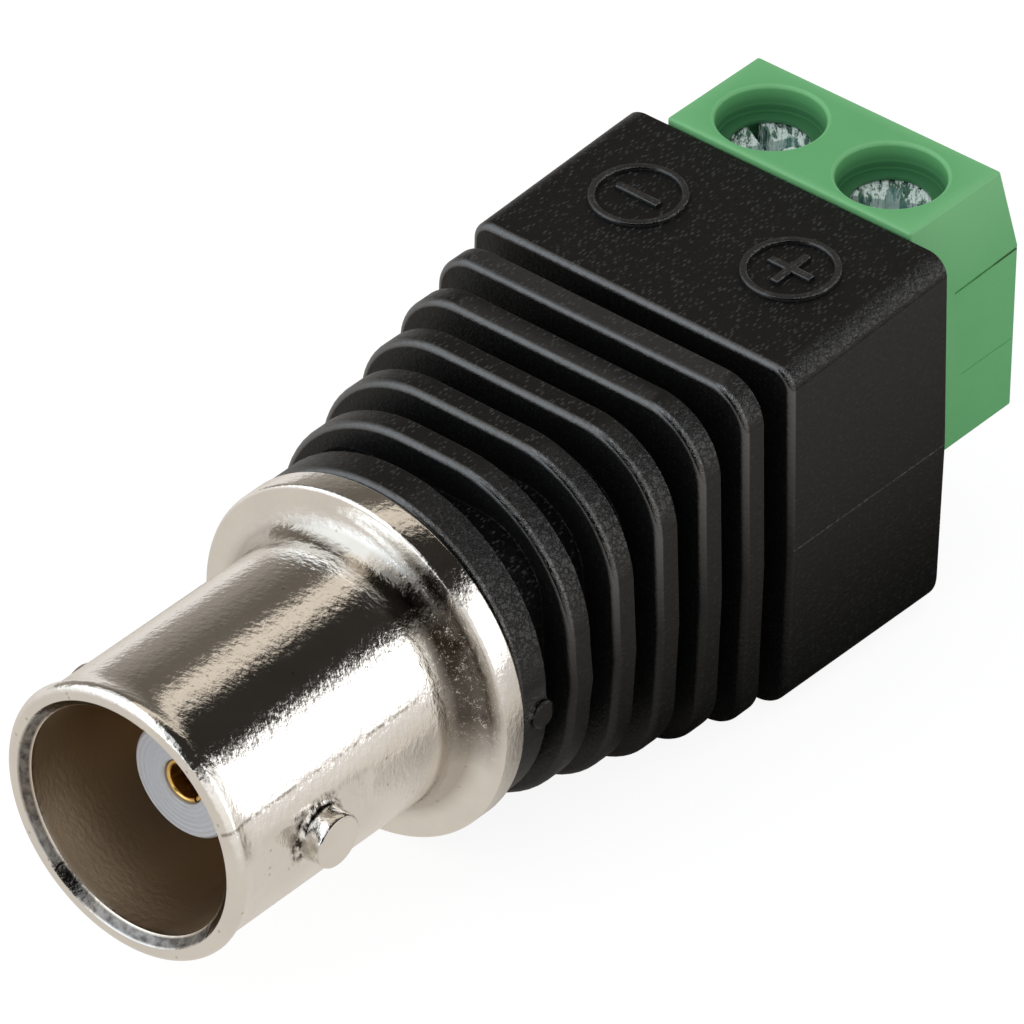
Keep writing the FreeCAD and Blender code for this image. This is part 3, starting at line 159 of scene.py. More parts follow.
class Finish(bpy.types.PropertyGroup):
    nickel: tint("Nickel", "Plating of the shell", (0.84, 0.81, 0.765))
    # Bronze stain in the cove, which also paints a dark reflection there.
    stain_with_dark_reflection: tint("Stain", "Bronze stain beside the flange", (0.036, 0.027, 0.018))
    pit: tint("Pits", "Casting pits in the shell", (0.14, 0.115, 0.09))
    bore: tint("Bore", "Inside of the socket", (0.60, 0.470, 0.315))
    # Painted shade: a dark line round the bevel inside the mouth.
    bevel: tint("Bevel", "Dark line in the bevel of the mouth", (0.055, 0.048, 0.042))
    # Painted shade: multiplies the nickel darker in the cove.
    cove: tint("Cove", "Darkening of the nickel in the cove", (0.60, 0.575, 0.54))
    # Painted dark reflection in the fillet at a lug's foot.
    lug_foot_dark_reflection: tint("Lug foot", "Dark blotch beside a lug", (0.045, 0.036, 0.028))
    seam: tint("Shell seam", "Parting line of the casting", (0.20, 0.17, 0.14))
    insulator: tint("Insulator", "Plastic round the contact", (0.560, 0.572, 0.600))
    insulator_ring: tint("Insulator rings", "Turned rings on the insulator", (0.43, 0.45, 0.49))
    gold: tint("Gold", "Plating of the centre contact", (0.86, 0.60, 0.22))
    gold_film: tint("Gold film", "Coppery film on the gold", (0.62, 0.34, 0.09))
    body: tint("Body", "Moulded body", (0.0034, 0.0034, 0.0034))
    body_speck: tint("Body speck", "Light specks in the moulded body", (0.105, 0.110, 0.110))
    body_seam: tint("Body seam", "Parting line of the moulding", (0.075, 0.076, 0.078))
    block: tint("Block", "Terminal block", (0.120, 0.410, 0.150))
    # Paler green for random clouds, and a painted highlight on the edges and the wells' rims.
    block_pale_and_highlight: tint("Block edges", "Edges of the terminal block", (0.200, 0.520, 0.225))
    # Painted shade down the screw wells.
    block_well_shade: tint("Wells", "Terminal block down its wells", (0.007, 0.078, 0.030))
    # Darker green in patches along the upper seam.
    seam_darkening: tint("Grime", "Grime in the block's upper seam", (0.030, 0.036, 0.014))
    zinc: tint("Zinc", "Plating of screws and cages", (0.90, 1.0, 0.98))
    # Dull streaks whose green is a painted reflection of the green well walls.
    zinc_dull_and_green_reflection: tint("Dull zinc", "Dull streaks on the screws", (0.30, 0.52, 0.47))
    tin: tint("Tin", "Plating of the contact strips", (0.70, 0.68, 0.62))
    copper: tint("Copper", "Leads", (0.80, 0.40, 0.24))
    solder: tint("Solder", "Solder", (0.62, 0.62, 0.61))


# Mesh helpers

def skin(loops, caps=True):
    """Vertices and faces of the surface through loops of equal count."""
    count = len(loops[0])
    points = [point for loop in loops for point in loop]
    faces = []
    rows = len(loops) - 1 if caps else len(loops)
    for row in range(rows):
        near, far = row * count, (row + 1) % len(loops) * count
        for step in range(count):
            after = (step + 1) % count
            faces.append((near + step, near + after, far + after, far + step))
    if caps:
        faces.append(tuple(reversed(range(count))))
        faces.append(tuple(range((len(loops) - 1) * count, len(loops) * count)))
    return points, faces


def lathe(profile, segments, caps=False):
    """Turn a profile of (place along the axis, radius) about the X axis."""
    loops = [[(place, radius * math.cos(step * FULL_TURN / segments),
               radius * math.sin(step * FULL_TURN / segments)) for step in range(segments)]
             for place, radius in profile]
    return skin(loops, caps)


def arc(centre, radius, start, end, steps):
    """Points of an arc in the plane of a profile, angles in degrees."""
    return [(centre[0] + radius * math.cos(math.radians(start + (end - start) * step / steps)),
             centre[1] + radius * math.sin(math.radians(start + (end - start) * step / steps)))
            for step in range(steps + 1)]


def run(start, end, steps):
    """Points of a straight run without its ends."""
    return [(start[0] + (end[0] - start[0]) * step / steps,
             start[1] + (end[1] - start[1]) * step / steps) for step in range(1, steps)]


def worn_end(place, radius, bevel):
    """Points of a small outer edge at the end of a profile, from its side to its face."""
    return [(place - bevel, radius), (place - bevel * 0.3, radius - bevel * 0.3),
            (place, radius - bevel)]


def solid(name, shape, place=None):
    """Make an object from points and faces with its normals outwards."""
    mesh = bpy.data.meshes.new(name)
    mesh.from_pydata([Vector(point) for point in shape[0]], [], shape[1])
    if place is not None:
        mesh.transform(place)
    work = bmesh.new()
    work.from_mesh(mesh)
    bmesh.ops.remove_doubles(work, verts=work.verts, dist=MM * 1e-4)
    bmesh.ops.recalc_face_normals(work, faces=work.faces)
    work.to_mesh(mesh)
    work.free()
    piece = bpy.data.objects.new(name, mesh)
    bpy.context.scene.collection.objects.link(piece)
    return piece


def box_shape(low, high):
    """Points and faces of a box."""
    loops = [[(x, low[1], low[2]), (x, high[1], low[2]), (x, high[1], high[2]),
              (x, low[1], high[2])] for x in (low[0], high[0])]
    return skin(loops)


def settle(piece):
    """Bake the modifiers of a piece into its mesh."""
    bpy.context.view_layer.update()
    seen = piece.evaluated_get(bpy.context.evaluated_depsgraph_get())
    made = bpy.data.meshes.new_from_object(seen, preserve_all_data_layers=True,
                                           depsgraph=bpy.context.evaluated_depsgraph_get())
    piece.modifiers.clear()
    old = piece.data
    piece.data = made
    bpy.data.meshes.remove(old)
    made.name = piece.name


def combine(piece, others, operation):
    """Fuse or cut a piece with others, which are used up."""
    for other in others:
        step = piece.modifiers.new(operation, "BOOLEAN")
        step.operation = operation
        step.solver = "MANIFOLD"
        step.object = other
        settle(piece)
        old = other.data
        bpy.data.objects.remove(other)
        bpy.data.meshes.remove(old)
        if len(piece.data.polygons) < 8:
            raise RuntimeError("a fused piece came out empty: " + piece.name)


def soften(piece, sharp=32.0, weighted=True):
    """Shade a piece smooth up to an angle, with flat faces kept flat."""
    piece.data.shade_smooth()
    piece.data.set_sharp_from_angle(angle=math.radians(sharp))
    if weighted:
        step = piece.modifiers.new("flat faces", "WEIGHTED_NORMAL")
        step.keep_sharp = True
        settle(piece)


def finish_piece(piece, material, slot, *replaced, body=ROOT):
    """Give a piece its material, its CAD nodes and its body. The slot is not used."""
    piece.data.materials.clear()
    piece.data.materials.append(material)
    if replaced:
        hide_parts(*replaced)
    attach(piece, body)


def dress_node(name, material):
    """Give a CAD node its material."""
    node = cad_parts[name]
    node.data.materials.clear()
    node.data.materials.append(material)


# Node helpers

class Nodes:
    """A node tree with short calls for the nodes that this script uses most."""

    def __init__(self, tree):
        self.tree = tree

    def feed(self, node, inputs):
        """Link or fill a node's inputs. A colour of three parts gets its alpha."""
        for key, value in inputs.items():
            socket = node.inputs[key]
            if isinstance(value, bpy.types.NodeSocket):
                self.tree.links.new(value, socket)
            elif socket.type == "RGBA" and len(value) == 3:
                socket.default_value = (*value, 1.0)
            else:
                socket.default_value = value

    def add(self, kind, inputs=None, **settings):
        """Add a node, set its options and fill or link its inputs."""
        node = self.tree.nodes.new(kind)
        for key, value in settings.items():
            setattr(node, key, value)
        self.feed(node, inputs or {})
        return node

    def maths(self, operation, first, second=0.0):
        """A maths node's value."""
        return self.add("ShaderNodeMath", {0: first, 1: second}, operation=operation).outputs[0]

    def times(self, first, *others):
        """Product of values."""
        for other in others:
            first = self.maths("MULTIPLY", first, other)
        return first

    def plus(self, first, *others):
        """Sum of values."""
        for other in others:
            first = self.maths("ADD", first, other)
        return first

    def minus(self, first, second):
        """Difference of two values."""
        return self.maths("SUBTRACT", first, second)

    def off(self, value, centre=0.0):
        """How far a value is from a centre, on either side."""
        return self.maths("ABSOLUTE", self.minus(value, centre))

    def reach(self, first, second):
        """Distance given by its parts along two axes."""
        return self.maths("SQRT", self.plus(self.maths("POWER", first, 2.0),
                                            self.maths("POWER", second, 2.0)))

    def parts(self, vector):
        """The three parts of a vector."""
        return self.add("ShaderNodeSeparateXYZ", {0: vector}).outputs[:]

    def spread(self, value, low, high, start=0.0, end=1.0):
        """Map a value from one range to another, clamped."""
        return self.add("ShaderNodeMapRange", {"Value": value, "From Min": low, "From Max": high,
                                               "To Min": start, "To Max": end}).outputs[0]

    def between(self, share, start, end):
        """A value from start to end by a share."""
        return self.spread(share, 0.0, 1.0, start, end)

    def rough(self, height, smooth, coarse):
        """Roughness by the height of a grain."""
        return self.spread(height, 0.3, 0.7, smooth, coarse)

    def fade(self, value, limits):
        """Soft edge of an area: from where it starts to where it is full, in millimetres."""
        return self.spread(value, limits[0] * MM, limits[1] * MM)

    def blend(self, share, first, second, mode="MIX"):
        """Colour mixed by a share."""
        return self.add("ShaderNodeMix", {"Factor": share, 6: first, 7: second},
                        data_type="RGBA", blend_type=mode).outputs[2]

    def choose(self, share, first, second):
        """Shader mixed by a share."""
        return self.add("ShaderNodeMixShader", {0: share, 1: first, 2: second}).outputs[0]

    def stretch(self, vector, scale, turn=0.0, kind="POINT"):
        """A vector scaled and turned about Z."""
        return self.add("ShaderNodeMapping", {"Vector": vector, "Scale": scale,
                                              "Rotation": (0.0, 0.0, turn)},
                        vector_type=kind).outputs[0]

    def bump(self, height, strength, distance, under=None):
        """Normal raised by a height, its distance in millimetres, over another normal."""
        inputs = {"Height": height, "Strength": strength, "Distance": distance * MM}
        if under is not None:
            inputs["Normal"] = under
        return self.add("ShaderNodeBump", inputs).outputs[0]

    def grain(self, vector, size, fine=0.4, low=0.4, high=0.6):
        """Mask and height of an uneven surface, its size in millimetres."""
        return self.add("ShaderNodeGroup", {"Vector": vector, "Size": size * MM, "Fine share": fine,
                                            "Low": low, "High": high},
                        node_tree=grain_group()).outputs[:]

    def specks(self, vector, size, reach, share):
        """Mask of scattered dashes, their size in millimetres."""
        return self.add("ShaderNodeGroup", {"Vector": vector, "Size": size * MM, "Reach": reach,
                                            "Share": share}, node_tree=speck_group()).outputs[0]


def group(name, values, outputs):
    """A new shader group that takes a vector and named values, and its two end nodes."""
    tree = bpy.data.node_groups.new(name, "ShaderNodeTree")
    tree.interface.new_socket(name="Vector", in_out="INPUT", socket_type="NodeSocketVector")
    for label, value in values.items():
        tree.interface.new_socket(name=label, in_out="INPUT",
                                  socket_type="NodeSocketFloat").default_value = value
    for label in outputs:
        tree.interface.new_socket(name=label, in_out="OUTPUT", socket_type="NodeSocketFloat")
    return Nodes(tree), tree.nodes.new("NodeGroupInput").outputs, tree.nodes.new("NodeGroupOutput")


def grain_group():
    """Uneven surface: two sizes of noise as a mask and as a height."""
    if "Surface grain" in bpy.data.node_groups:
        return bpy.data.node_groups["Surface grain"]
    nodes, given, end = group("Surface grain", {"Size": 0.5 * MM, "Fine share": 0.4, "Low": 0.4,
                                                "High": 0.6}, ("Mask", "Height"))
    scale = nodes.maths("DIVIDE", 1.0, given["Size"])
    coarse, fine = [nodes.add("ShaderNodeTexNoise", {
        "Vector": given["Vector"], "Scale": size, "Detail": detail,
        "Roughness": rough}).outputs["Fac"]
        for size, detail, rough in ((scale, 2.0, 0.5), (nodes.times(scale, 3.7), 3.0, 0.6))]
    height = nodes.add("ShaderNodeMix", {"Factor": given["Fine share"], 2: coarse, 3: fine},
                       data_type="FLOAT").outputs[0]
    mask = nodes.spread(height, given["Low"], given["High"])
    nodes.feed(end, {"Mask": mask, "Height": height})
    return nodes.tree


def speck_group():
    """Small dashes scattered over a surface."""
    if "Scattered specks" in bpy.data.node_groups:
        return bpy.data.node_groups["Scattered specks"]
    nodes, given, end = group("Scattered specks", {"Size": 0.2 * MM, "Reach": 0.25, "Share": 0.3},
                              ("Mask",))
    cells = nodes.add("ShaderNodeTexVoronoi", {
        "Vector": given["Vector"], "Scale": nodes.maths("DIVIDE", 1.0, given["Size"]),
        "Randomness": 1.0}).outputs
    near = nodes.spread(cells["Distance"], given["Reach"], 0.0)
    pick = nodes.add("ShaderNodeSeparateColor", {"Color": cells["Color"]}).outputs[0]
    nodes.feed(end, {"Mask": nodes.times(near, nodes.maths("LESS_THAN", pick, given["Share"]))})
    return nodes.tree


def new_material(name, values=None):
    """A material with its Principled shader set, and its Object coordinates."""
    material = bpy.data.materials.new(name)
    material.use_nodes = True
    nodes = Nodes(material.node_tree)
    shader = nodes.tree.nodes["Principled BSDF"]
    nodes.feed(shader, values or {})
    return material, nodes, shader, nodes.add("ShaderNodeTexCoord").outputs["Object"]


def edge_value(nodes):
    """The share of a rounded edge that a mesh holds as its attribute."""
    return nodes.add("ShaderNodeAttribute", attribute_name="edge").outputs["Fac"]


# Materials

def nickel_finish(finish, sizes):
    """Bright nickel over a die casting: fine waves, a dull bore, bronze stains in the cove, and
    painted shade and dark reflections in the cove, at the lugs' feet and in the mouth's bevel.
    """
    material, nodes, shader, place = new_material("bright_nickel", {"Metallic": 1.0})
    x, y, z = nodes.parts(place)
    radius = nodes.reach(y, z)
    angle = nodes.maths("ARCTAN2", z, y)
    wave_mask, wave = nodes.grain(nodes.stretch(place, (1.7, 1.0, 1.0)), 0.30, fine=0.18)
    swell = nodes.grain(nodes.stretch(place, (0.35, 1.0, 1.0)), 1.1, fine=0.25)[1]
    pits = nodes.specks(place, 0.30, reach=0.26, share=0.10)
    stain_with_dark_reflection = nodes.grain(place, 0.20, fine=0.6, low=0.32, high=0.45)[0]
    cloud = nodes.grain(place, 2.2, fine=0.3, low=0.42, high=0.58)[0]

    bore_wall, bore_start = (4.22, 4.12), (-0.15, -0.5)
    bore = nodes.times(nodes.fade(radius, bore_wall), nodes.fade(x, bore_start))
    # Painted shade in the mouth's bevel: a dark line round it.
    bevel_start, bevel_outer, bevel_inner = (-0.45, -0.30), (4.42, 4.34), (4.09, 4.15)
    bevel = nodes.times(nodes.fade(x, bevel_start), nodes.fade(radius, bevel_outer),
                        nodes.fade(radius, bevel_inner))
    # The cove on one side round the axis: its stain is also a painted dark reflection.
    cove_start, cove_edge = (-9.7, -10.5), (6.45, 5.75)
    cove_middle, cove_none, cove_full = math.radians(32.0), 0.84, 0.46
    cove = nodes.times(nodes.fade(x, cove_start), nodes.fade(radius, cove_edge),
                       nodes.spread(nodes.off(angle, cove_middle), cove_none, cove_full))
    # Painted shade in the cove: a band by the flange's front face, multiplied darker.
    ring_x, ring_reach, ring_edge = -10.30 * MM, (0.70, 0.45), (5.9, 5.5)
    ring = nodes.times(nodes.fade(nodes.off(x, ring_x), ring_reach), nodes.fade(radius, ring_edge))
    # Painted dark reflection: a blotch in the fillet round a lug's foot, on one side of it.
    lug_x = nodes.plus(x, sizes.lug_behind)
    lug_z = nodes.plus(z, 0.25 * MM)
    lug_far = nodes.reach(lug_x, lug_z)
    foot_outer, foot_inner, foot_side, foot_out = (1.42, 1.22), (0.93, 1.0), (0.0, 0.5), (4.2, 4.5)
    foot = nodes.times(nodes.fade(lug_far, foot_outer), nodes.fade(lug_far, foot_inner),
                       nodes.fade(nodes.plus(lug_x, lug_z), foot_side),
                       nodes.spread(wave, 0.62, 0.42), nodes.fade(y, foot_out))
    seam_turn, seam_none, seam_full, seam_end = math.radians(23.0), 0.020, 0.004, (-9.6, -9.2)
    seam = nodes.times(nodes.spread(nodes.off(angle, seam_turn), seam_none, seam_full), wave_mask,
                       nodes.fade(x, seam_end))

    cloudy = [part * 0.86 for part in finish.nickel]
    colour = nodes.blend(nodes.times(cloud, 0.3), finish.nickel, cloudy)
    stain_with_dark_reflection_share = nodes.times(stain_with_dark_reflection, cove, nodes.between(cloud, 0.86, 1.0))
    line = nodes.times(bevel, nodes.spread(wave, 0.35, 0.6, 0.97, 0.80))
    for share, film in ((stain_with_dark_reflection_share, finish.stain_with_dark_reflection), (nodes.times(pits, 0.6), finish.pit),
                        (nodes.times(bore, 0.94), finish.bore), (line, finish.bevel)):
        colour = nodes.blend(share, colour, film)
    colour = nodes.blend(ring, colour, finish.cove, "MULTIPLY")
    colour = nodes.blend(foot, colour, finish.lug_foot_dark_reflection)
    colour = nodes.blend(nodes.times(seam, 0.75), colour, finish.seam)
    rough = nodes.plus(nodes.rough(swell, 0.06, 0.13), nodes.times(bore, 0.30),
                       nodes.times(cove, 0.06))
    nodes.feed(shader, {"Base Color": colour, "Roughness": rough,
                        "Normal": nodes.bump(swell, 1.0, 0.020, nodes.bump(wave, 1.0, 0.024))})
    return material


def insulator_finish(finish):
    """Translucent white plastic with turned rings."""
    material, nodes, shader, place = new_material("white_insulator", {
        "Roughness": 0.34, "Subsurface Weight": 0.25, "Subsurface Scale": 1.0,
        "Subsurface Radius": (0.4 * MM, 0.5 * MM, 0.6 * MM)})
    y, z = nodes.parts(place)[1:]
    ring_pitch = 0.22 * MM
    wave = nodes.maths("SINE", nodes.times(nodes.reach(y, z), FULL_TURN / ring_pitch))
    mask, height = nodes.grain(place, 0.3, low=0.3, high=0.7)
    shade = nodes.plus(nodes.times(nodes.spread(wave, -1.0, 1.0), 0.22), nodes.times(mask, 0.1))
    nodes.feed(shader, {"Base Color": nodes.blend(shade, finish.insulator, finish.insulator_ring),
                        "Normal": nodes.bump(height, 0.3, 0.01)})
    return material


def gold_finish(finish):
    """Gold plating with a coppery film in patches."""
    material, nodes, shader, place = new_material("gold_plating", {"Metallic": 1.0})
    mask, height = nodes.grain(place, 0.16, high=0.62)
    colour = nodes.blend(nodes.times(mask, 0.4), finish.gold, finish.gold_film)
    nodes.feed(shader, {"Base Color": colour,
                        "Roughness": nodes.rough(height, 0.16, 0.3),
                        "Normal": nodes.bump(height, 0.35, 0.008)})
    return material


def body_finish(finish, sizes):
    """Satin black moulding: dashed specks, wrinkled shoulders, painted highlights in the specks on
    the tops and shoulders and on the edges, and painted shade in the grooves.
    """
    material, nodes, shader, place = new_material("wrinkled_black")
    x, y, z = nodes.parts(place)
    facing_y, facing_z = nodes.parts(nodes.add("ShaderNodeTexCoord").outputs["Normal"])[1:]
    edge = edge_value(nodes)
    shoulder = nodes.spread(nodes.times(facing_y, facing_z), 0.10, 0.32)
    upward = nodes.spread(facing_z, 0.90, 0.99)
    fine = nodes.grain(place, 0.16)[1]
    leather = nodes.grain(nodes.stretch(place, (1.0, 0.8, 0.8)), 0.34, fine=0.3)[1]
    specks = nodes.specks(nodes.stretch(place, (0.50, 1.4, 1.0), turn=0.45), 0.13, reach=0.46,
                          share=0.55)
    push, crack_size = 0.9 * MM, 0.27 * MM
    pushed = nodes.add("ShaderNodeVectorMath", {0: (push, push, push), 3: leather},
                       operation="SCALE")
    wavy = nodes.add("ShaderNodeVectorMath", {0: place, 1: pushed.outputs[0]}, operation="ADD")
    cracks = nodes.add("ShaderNodeTexVoronoi", {
        "Vector": wavy.outputs[0], "Scale": 1.0 / crack_size},
        feature="DISTANCE_TO_EDGE").outputs["Distance"]

    margin = 0.1 * MM
    ribs_end = -block_front(sizes) + margin
    ribs_start = -FIRST_BACK
    seam_edge = (0.045, 0.015)
    seam = nodes.times(nodes.fade(nodes.off(z), seam_edge),
                       nodes.spread(nodes.off(facing_y), 0.9, 0.97),
                       nodes.spread(fine, 0.42, 0.60),
                       nodes.spread(x, ribs_end, ribs_end - 2 * margin))
    # Painted shade: in the grooves between the ribs the specular level is turned down.
    rows = nodes.maths("FRACT", nodes.maths("DIVIDE", nodes.minus(ribs_start, x),
                                            sizes.rib + sizes.groove))
    groove_share, groove_edge = 0.50, (6.9, 6.7)
    groove = nodes.times(nodes.maths("LESS_THAN", rows, groove_share),
                         nodes.fade(nodes.reach(y, z), groove_edge),
                         nodes.maths("GREATER_THAN", x, ribs_end),
                         nodes.maths("LESS_THAN", x, ribs_start))

    # Real specks, shown more on upward faces and on the shoulders: a painted highlight.
    dashes = nodes.times(specks, nodes.maths("MAXIMUM", nodes.between(upward, 0.10, 0.48),
                                             nodes.times(shoulder, 0.45)))
    colour = nodes.blend(dashes, finish.body, finish.body_speck)
    colour = nodes.blend(seam, colour, finish.body_seam)
    rough = nodes.minus(nodes.rough(fine, 0.38, 0.50),
                        nodes.plus(nodes.times(shoulder, 0.14), nodes.times(edge, 0.06)))
    # Painted highlight: more specular level on the rounded edges, fading lower down, and on the
    # shoulders.
    gloss_and_highlight = nodes.plus(nodes.between(edge, 0.27, 0.85), nodes.times(shoulder, 0.22))
    cracked = nodes.times(nodes.spread(cracks, 0.0, 0.10), 0.16)
    rise = nodes.times(nodes.plus(leather, cracked), shoulder)
    raised = nodes.bump(rise, 1.0, 0.15, nodes.bump(fine, 1.0, 0.026))
    nodes.feed(shader, {
        "Base Color": colour, "Roughness": rough, "IOR": nodes.between(edge, 1.5, 1.68),
        "Specular IOR Level": nodes.times(gloss_and_highlight, nodes.between(groove, 1.0, 0.12)),
        "Normal": nodes.bump(specks, 0.4, 0.008, raised)})
    return material


def block_finish(finish, sizes):
    """Matte green moulding, with a painted highlight along its edges and painted shade down its
    wells.
    """
    material, nodes, shader, place = new_material("matte_green")
    x, y, z = nodes.parts(place)
    cloud_mask, cloud = nodes.grain(place, 1.6, low=0.35, high=0.65)
    fine = nodes.grain(place, 0.12)[1]
    radius = nodes.reach(nodes.minus(nodes.off(y), sizes.pitch / 2), nodes.minus(x, POLE_X))
    # Painted shade down the wells, broken by turned rings.
    well_top, well_edge, turning_pitch = (7.42, 6.7), (2.1, 1.95), 0.27 * MM
    deep = nodes.times(nodes.fade(z, well_top), nodes.fade(radius, well_edge))
    turning = nodes.maths("SINE", nodes.times(z, FULL_TURN / turning_pitch))
    # Darker in patches along the upper seam of the sides.
    seam_level, seam_slope = 2.813 * MM, -0.0284
    seam_edge, seam_start = (0.07, 0.03), (-35.2, -36.6)
    seam = nodes.plus(seam_level, nodes.times(x, seam_slope))
    seam_darkening = nodes.times(nodes.fade(nodes.off(z, seam), seam_edge), nodes.fade(x, seam_start),
                        nodes.spread(cloud, 0.38, 0.50))
    colour = nodes.blend(nodes.times(cloud_mask, 0.12), finish.block, finish.block_pale_and_highlight)
    for share, tone in (
            (nodes.times(deep, 0.75), finish.block_well_shade),
            (nodes.times(deep, nodes.spread(turning, 0.3, 1.0, 0.0, 0.3)), finish.block),
            (nodes.times(seam_darkening, 0.85), finish.seam_darkening),
            (nodes.times(edge_value(nodes), 0.6), finish.block_pale_and_highlight)):
        colour = nodes.blend(share, colour, tone)
    nodes.feed(shader, {"Base Color": colour, "Roughness": nodes.rough(fine, 0.46, 0.58),
                        "Normal": nodes.bump(fine, 0.25, 0.012)})
    return material


def zinc_finish(finish):
    """Bright zinc with drawn streaks and dull patches; the dull streaks' green is a painted
    reflection.
    """
    material, nodes, shader, place = new_material("bright_zinc")
    mask, streak = nodes.grain(nodes.stretch(place, (3.2, 1.0, 6.0), math.radians(40.0), "TEXTURE"),
                               0.19, low=0.41, high=0.50)
    patch = nodes.grain(place, 0.5, low=0.42)[1]
    nodes.feed(shader, {"Base Color": nodes.blend(mask, finish.zinc_dull_and_green_reflection, finish.zinc),
                        "Metallic": nodes.spread(streak, 0.45, 0.54, 0.9, 0.10),
                        "Roughness": nodes.rough(patch, 0.10, 0.26),
                        "Normal": nodes.bump(streak, 1.0, 0.20)})
    return material


def metal_finish(name, colour, dull, size, rough):
    """Plain metal of the hidden pieces: cloudy, its grain's size in millimetres."""
    material, nodes, shader, place = new_material(name, {"Metallic": 1.0})
    mask, cloud = nodes.grain(place, size, low=0.35, high=0.65)
    dulled = nodes.blend(nodes.times(mask, 0.5), colour, [part * dull for part in colour])
    nodes.feed(shader, {"Base Color": dulled,
                        "Roughness": nodes.rough(cloud, rough, rough + 0.16),
                        "Normal": nodes.bump(cloud, 0.3, 0.01)})
    return material


# Socket shell

def shell_profile(sizes):
    """Closed profile of the shell: open socket, lip, barrel, flange and gripped tail."""
    floor = -sizes.bore_depth
    front = -sizes.flange_front
    back = -sizes.flange_back
    tail, seat, passage, end = 4.2 * MM, 2.62 * MM, 2.04 * MM, 18.94 * MM
    corner, lip_round, bevel_rise = 0.25 * MM, 0.33 * MM, 0.22 * MM
    knurls, knurl_deep, knurl_wide = (13.64 * MM, 16.14 * MM), 0.45 * MM, 1.0 * MM
    edge = sizes.flange_round
    barrel_end = front + sizes.cove
    profile = [(floor, passage)]
    profile += arc((floor + corner, sizes.mouth - corner), corner, 180, 90, 5)
    profile += run((floor + corner, sizes.mouth), (-sizes.lip_bevel, sizes.mouth), 18)
    profile += [(-sizes.lip_bevel, sizes.mouth),
                (-sizes.lip_bevel * 0.35, sizes.mouth + bevel_rise),
                (0.0, sizes.mouth + sizes.lip_bevel)]
    profile += arc((-lip_round, sizes.lip - lip_round), lip_round, 0, 90, 8)
    profile += run((-lip_round, sizes.lip), (-sizes.lip_length, sizes.barrel), 5)
    profile += run((-sizes.lip_length, sizes.barrel), (barrel_end, sizes.barrel), 60)
    profile += arc((barrel_end, sizes.barrel + sizes.cove), sizes.cove, -90, -180, 12)
    profile += arc((front - edge, sizes.flange - edge), edge, 0, 90, 5)
    profile += arc((back + edge, sizes.flange - edge), edge, 90, 180, 5)
    profile += [(back, tail)]
    for knurl in knurls:
        profile += [(-knurl, tail), (-knurl, tail - knurl_deep),
                    (-knurl - knurl_wide, tail - knurl_deep), (-knurl - knurl_wide, tail)]
    profile += [(-end, tail), (-end, seat), (-SEAT_WALL, seat), (-SEAT_WALL, passage)]
    return profile


class ADAPTER_OT_shell(bpy.types.Operator):
    """Build the plated shell with its lip, flats, lugs and flange"""

    bl_idname = "adapter.shell"
    bl_label = "Socket shell"

    def execute(self, context):
        sizes = context.scene.adapter_shell
        shape, faces = lathe(shell_profile(sizes), sizes.segments)
        flat_half, flat_start, flat_end, skin_depth = 1.15 * MM, 1.4 * MM, 6.45 * MM, 0.05 * MM
        reach = math.sqrt(sizes.barrel ** 2 - flat_half ** 2)
        points = []
        for x, y, z in shape:
            if flat_start < -x < flat_end and math.hypot(y, z) > sizes.barrel - skin_depth:
                y = max(-reach, min(reach, y))
            points.append((x, y, z))
        turn = Matrix.Rotation(sizes.turn, 4, "X")
        shell = solid("socket_shell", (points, faces), turn)
        foot, bevel, stem_start, sunk = 0.30 * MM, 0.12 * MM, 4.35 * MM, 0.03 * MM
        stem = [(stem_start, sizes.lug + foot)]
        stem += arc((reach + foot - sunk, sizes.lug + foot), foot, 180, 270, 6)
        stem += run((reach + foot, sizes.lug), (sizes.lug_reach - bevel, sizes.lug), 3)
        stem += worn_end(sizes.lug_reach, sizes.lug, bevel)
        lugs = []
        for side in (1, -1):
            place = turn @ Matrix.Translation((-sizes.lug_behind, 0, 0)) \
                @ Matrix.Rotation(side * QUARTER, 4, "Z")
            lugs.append(solid("lug", lathe(stem, 64, caps=True), place))
        combine(shell, lugs, "UNION")
        soften(shell)
        finish_piece(shell, nickel_finish(context.scene.adapter_finish, sizes), "nickel",
                     "bnc_shell")
        return {"FINISHED"}


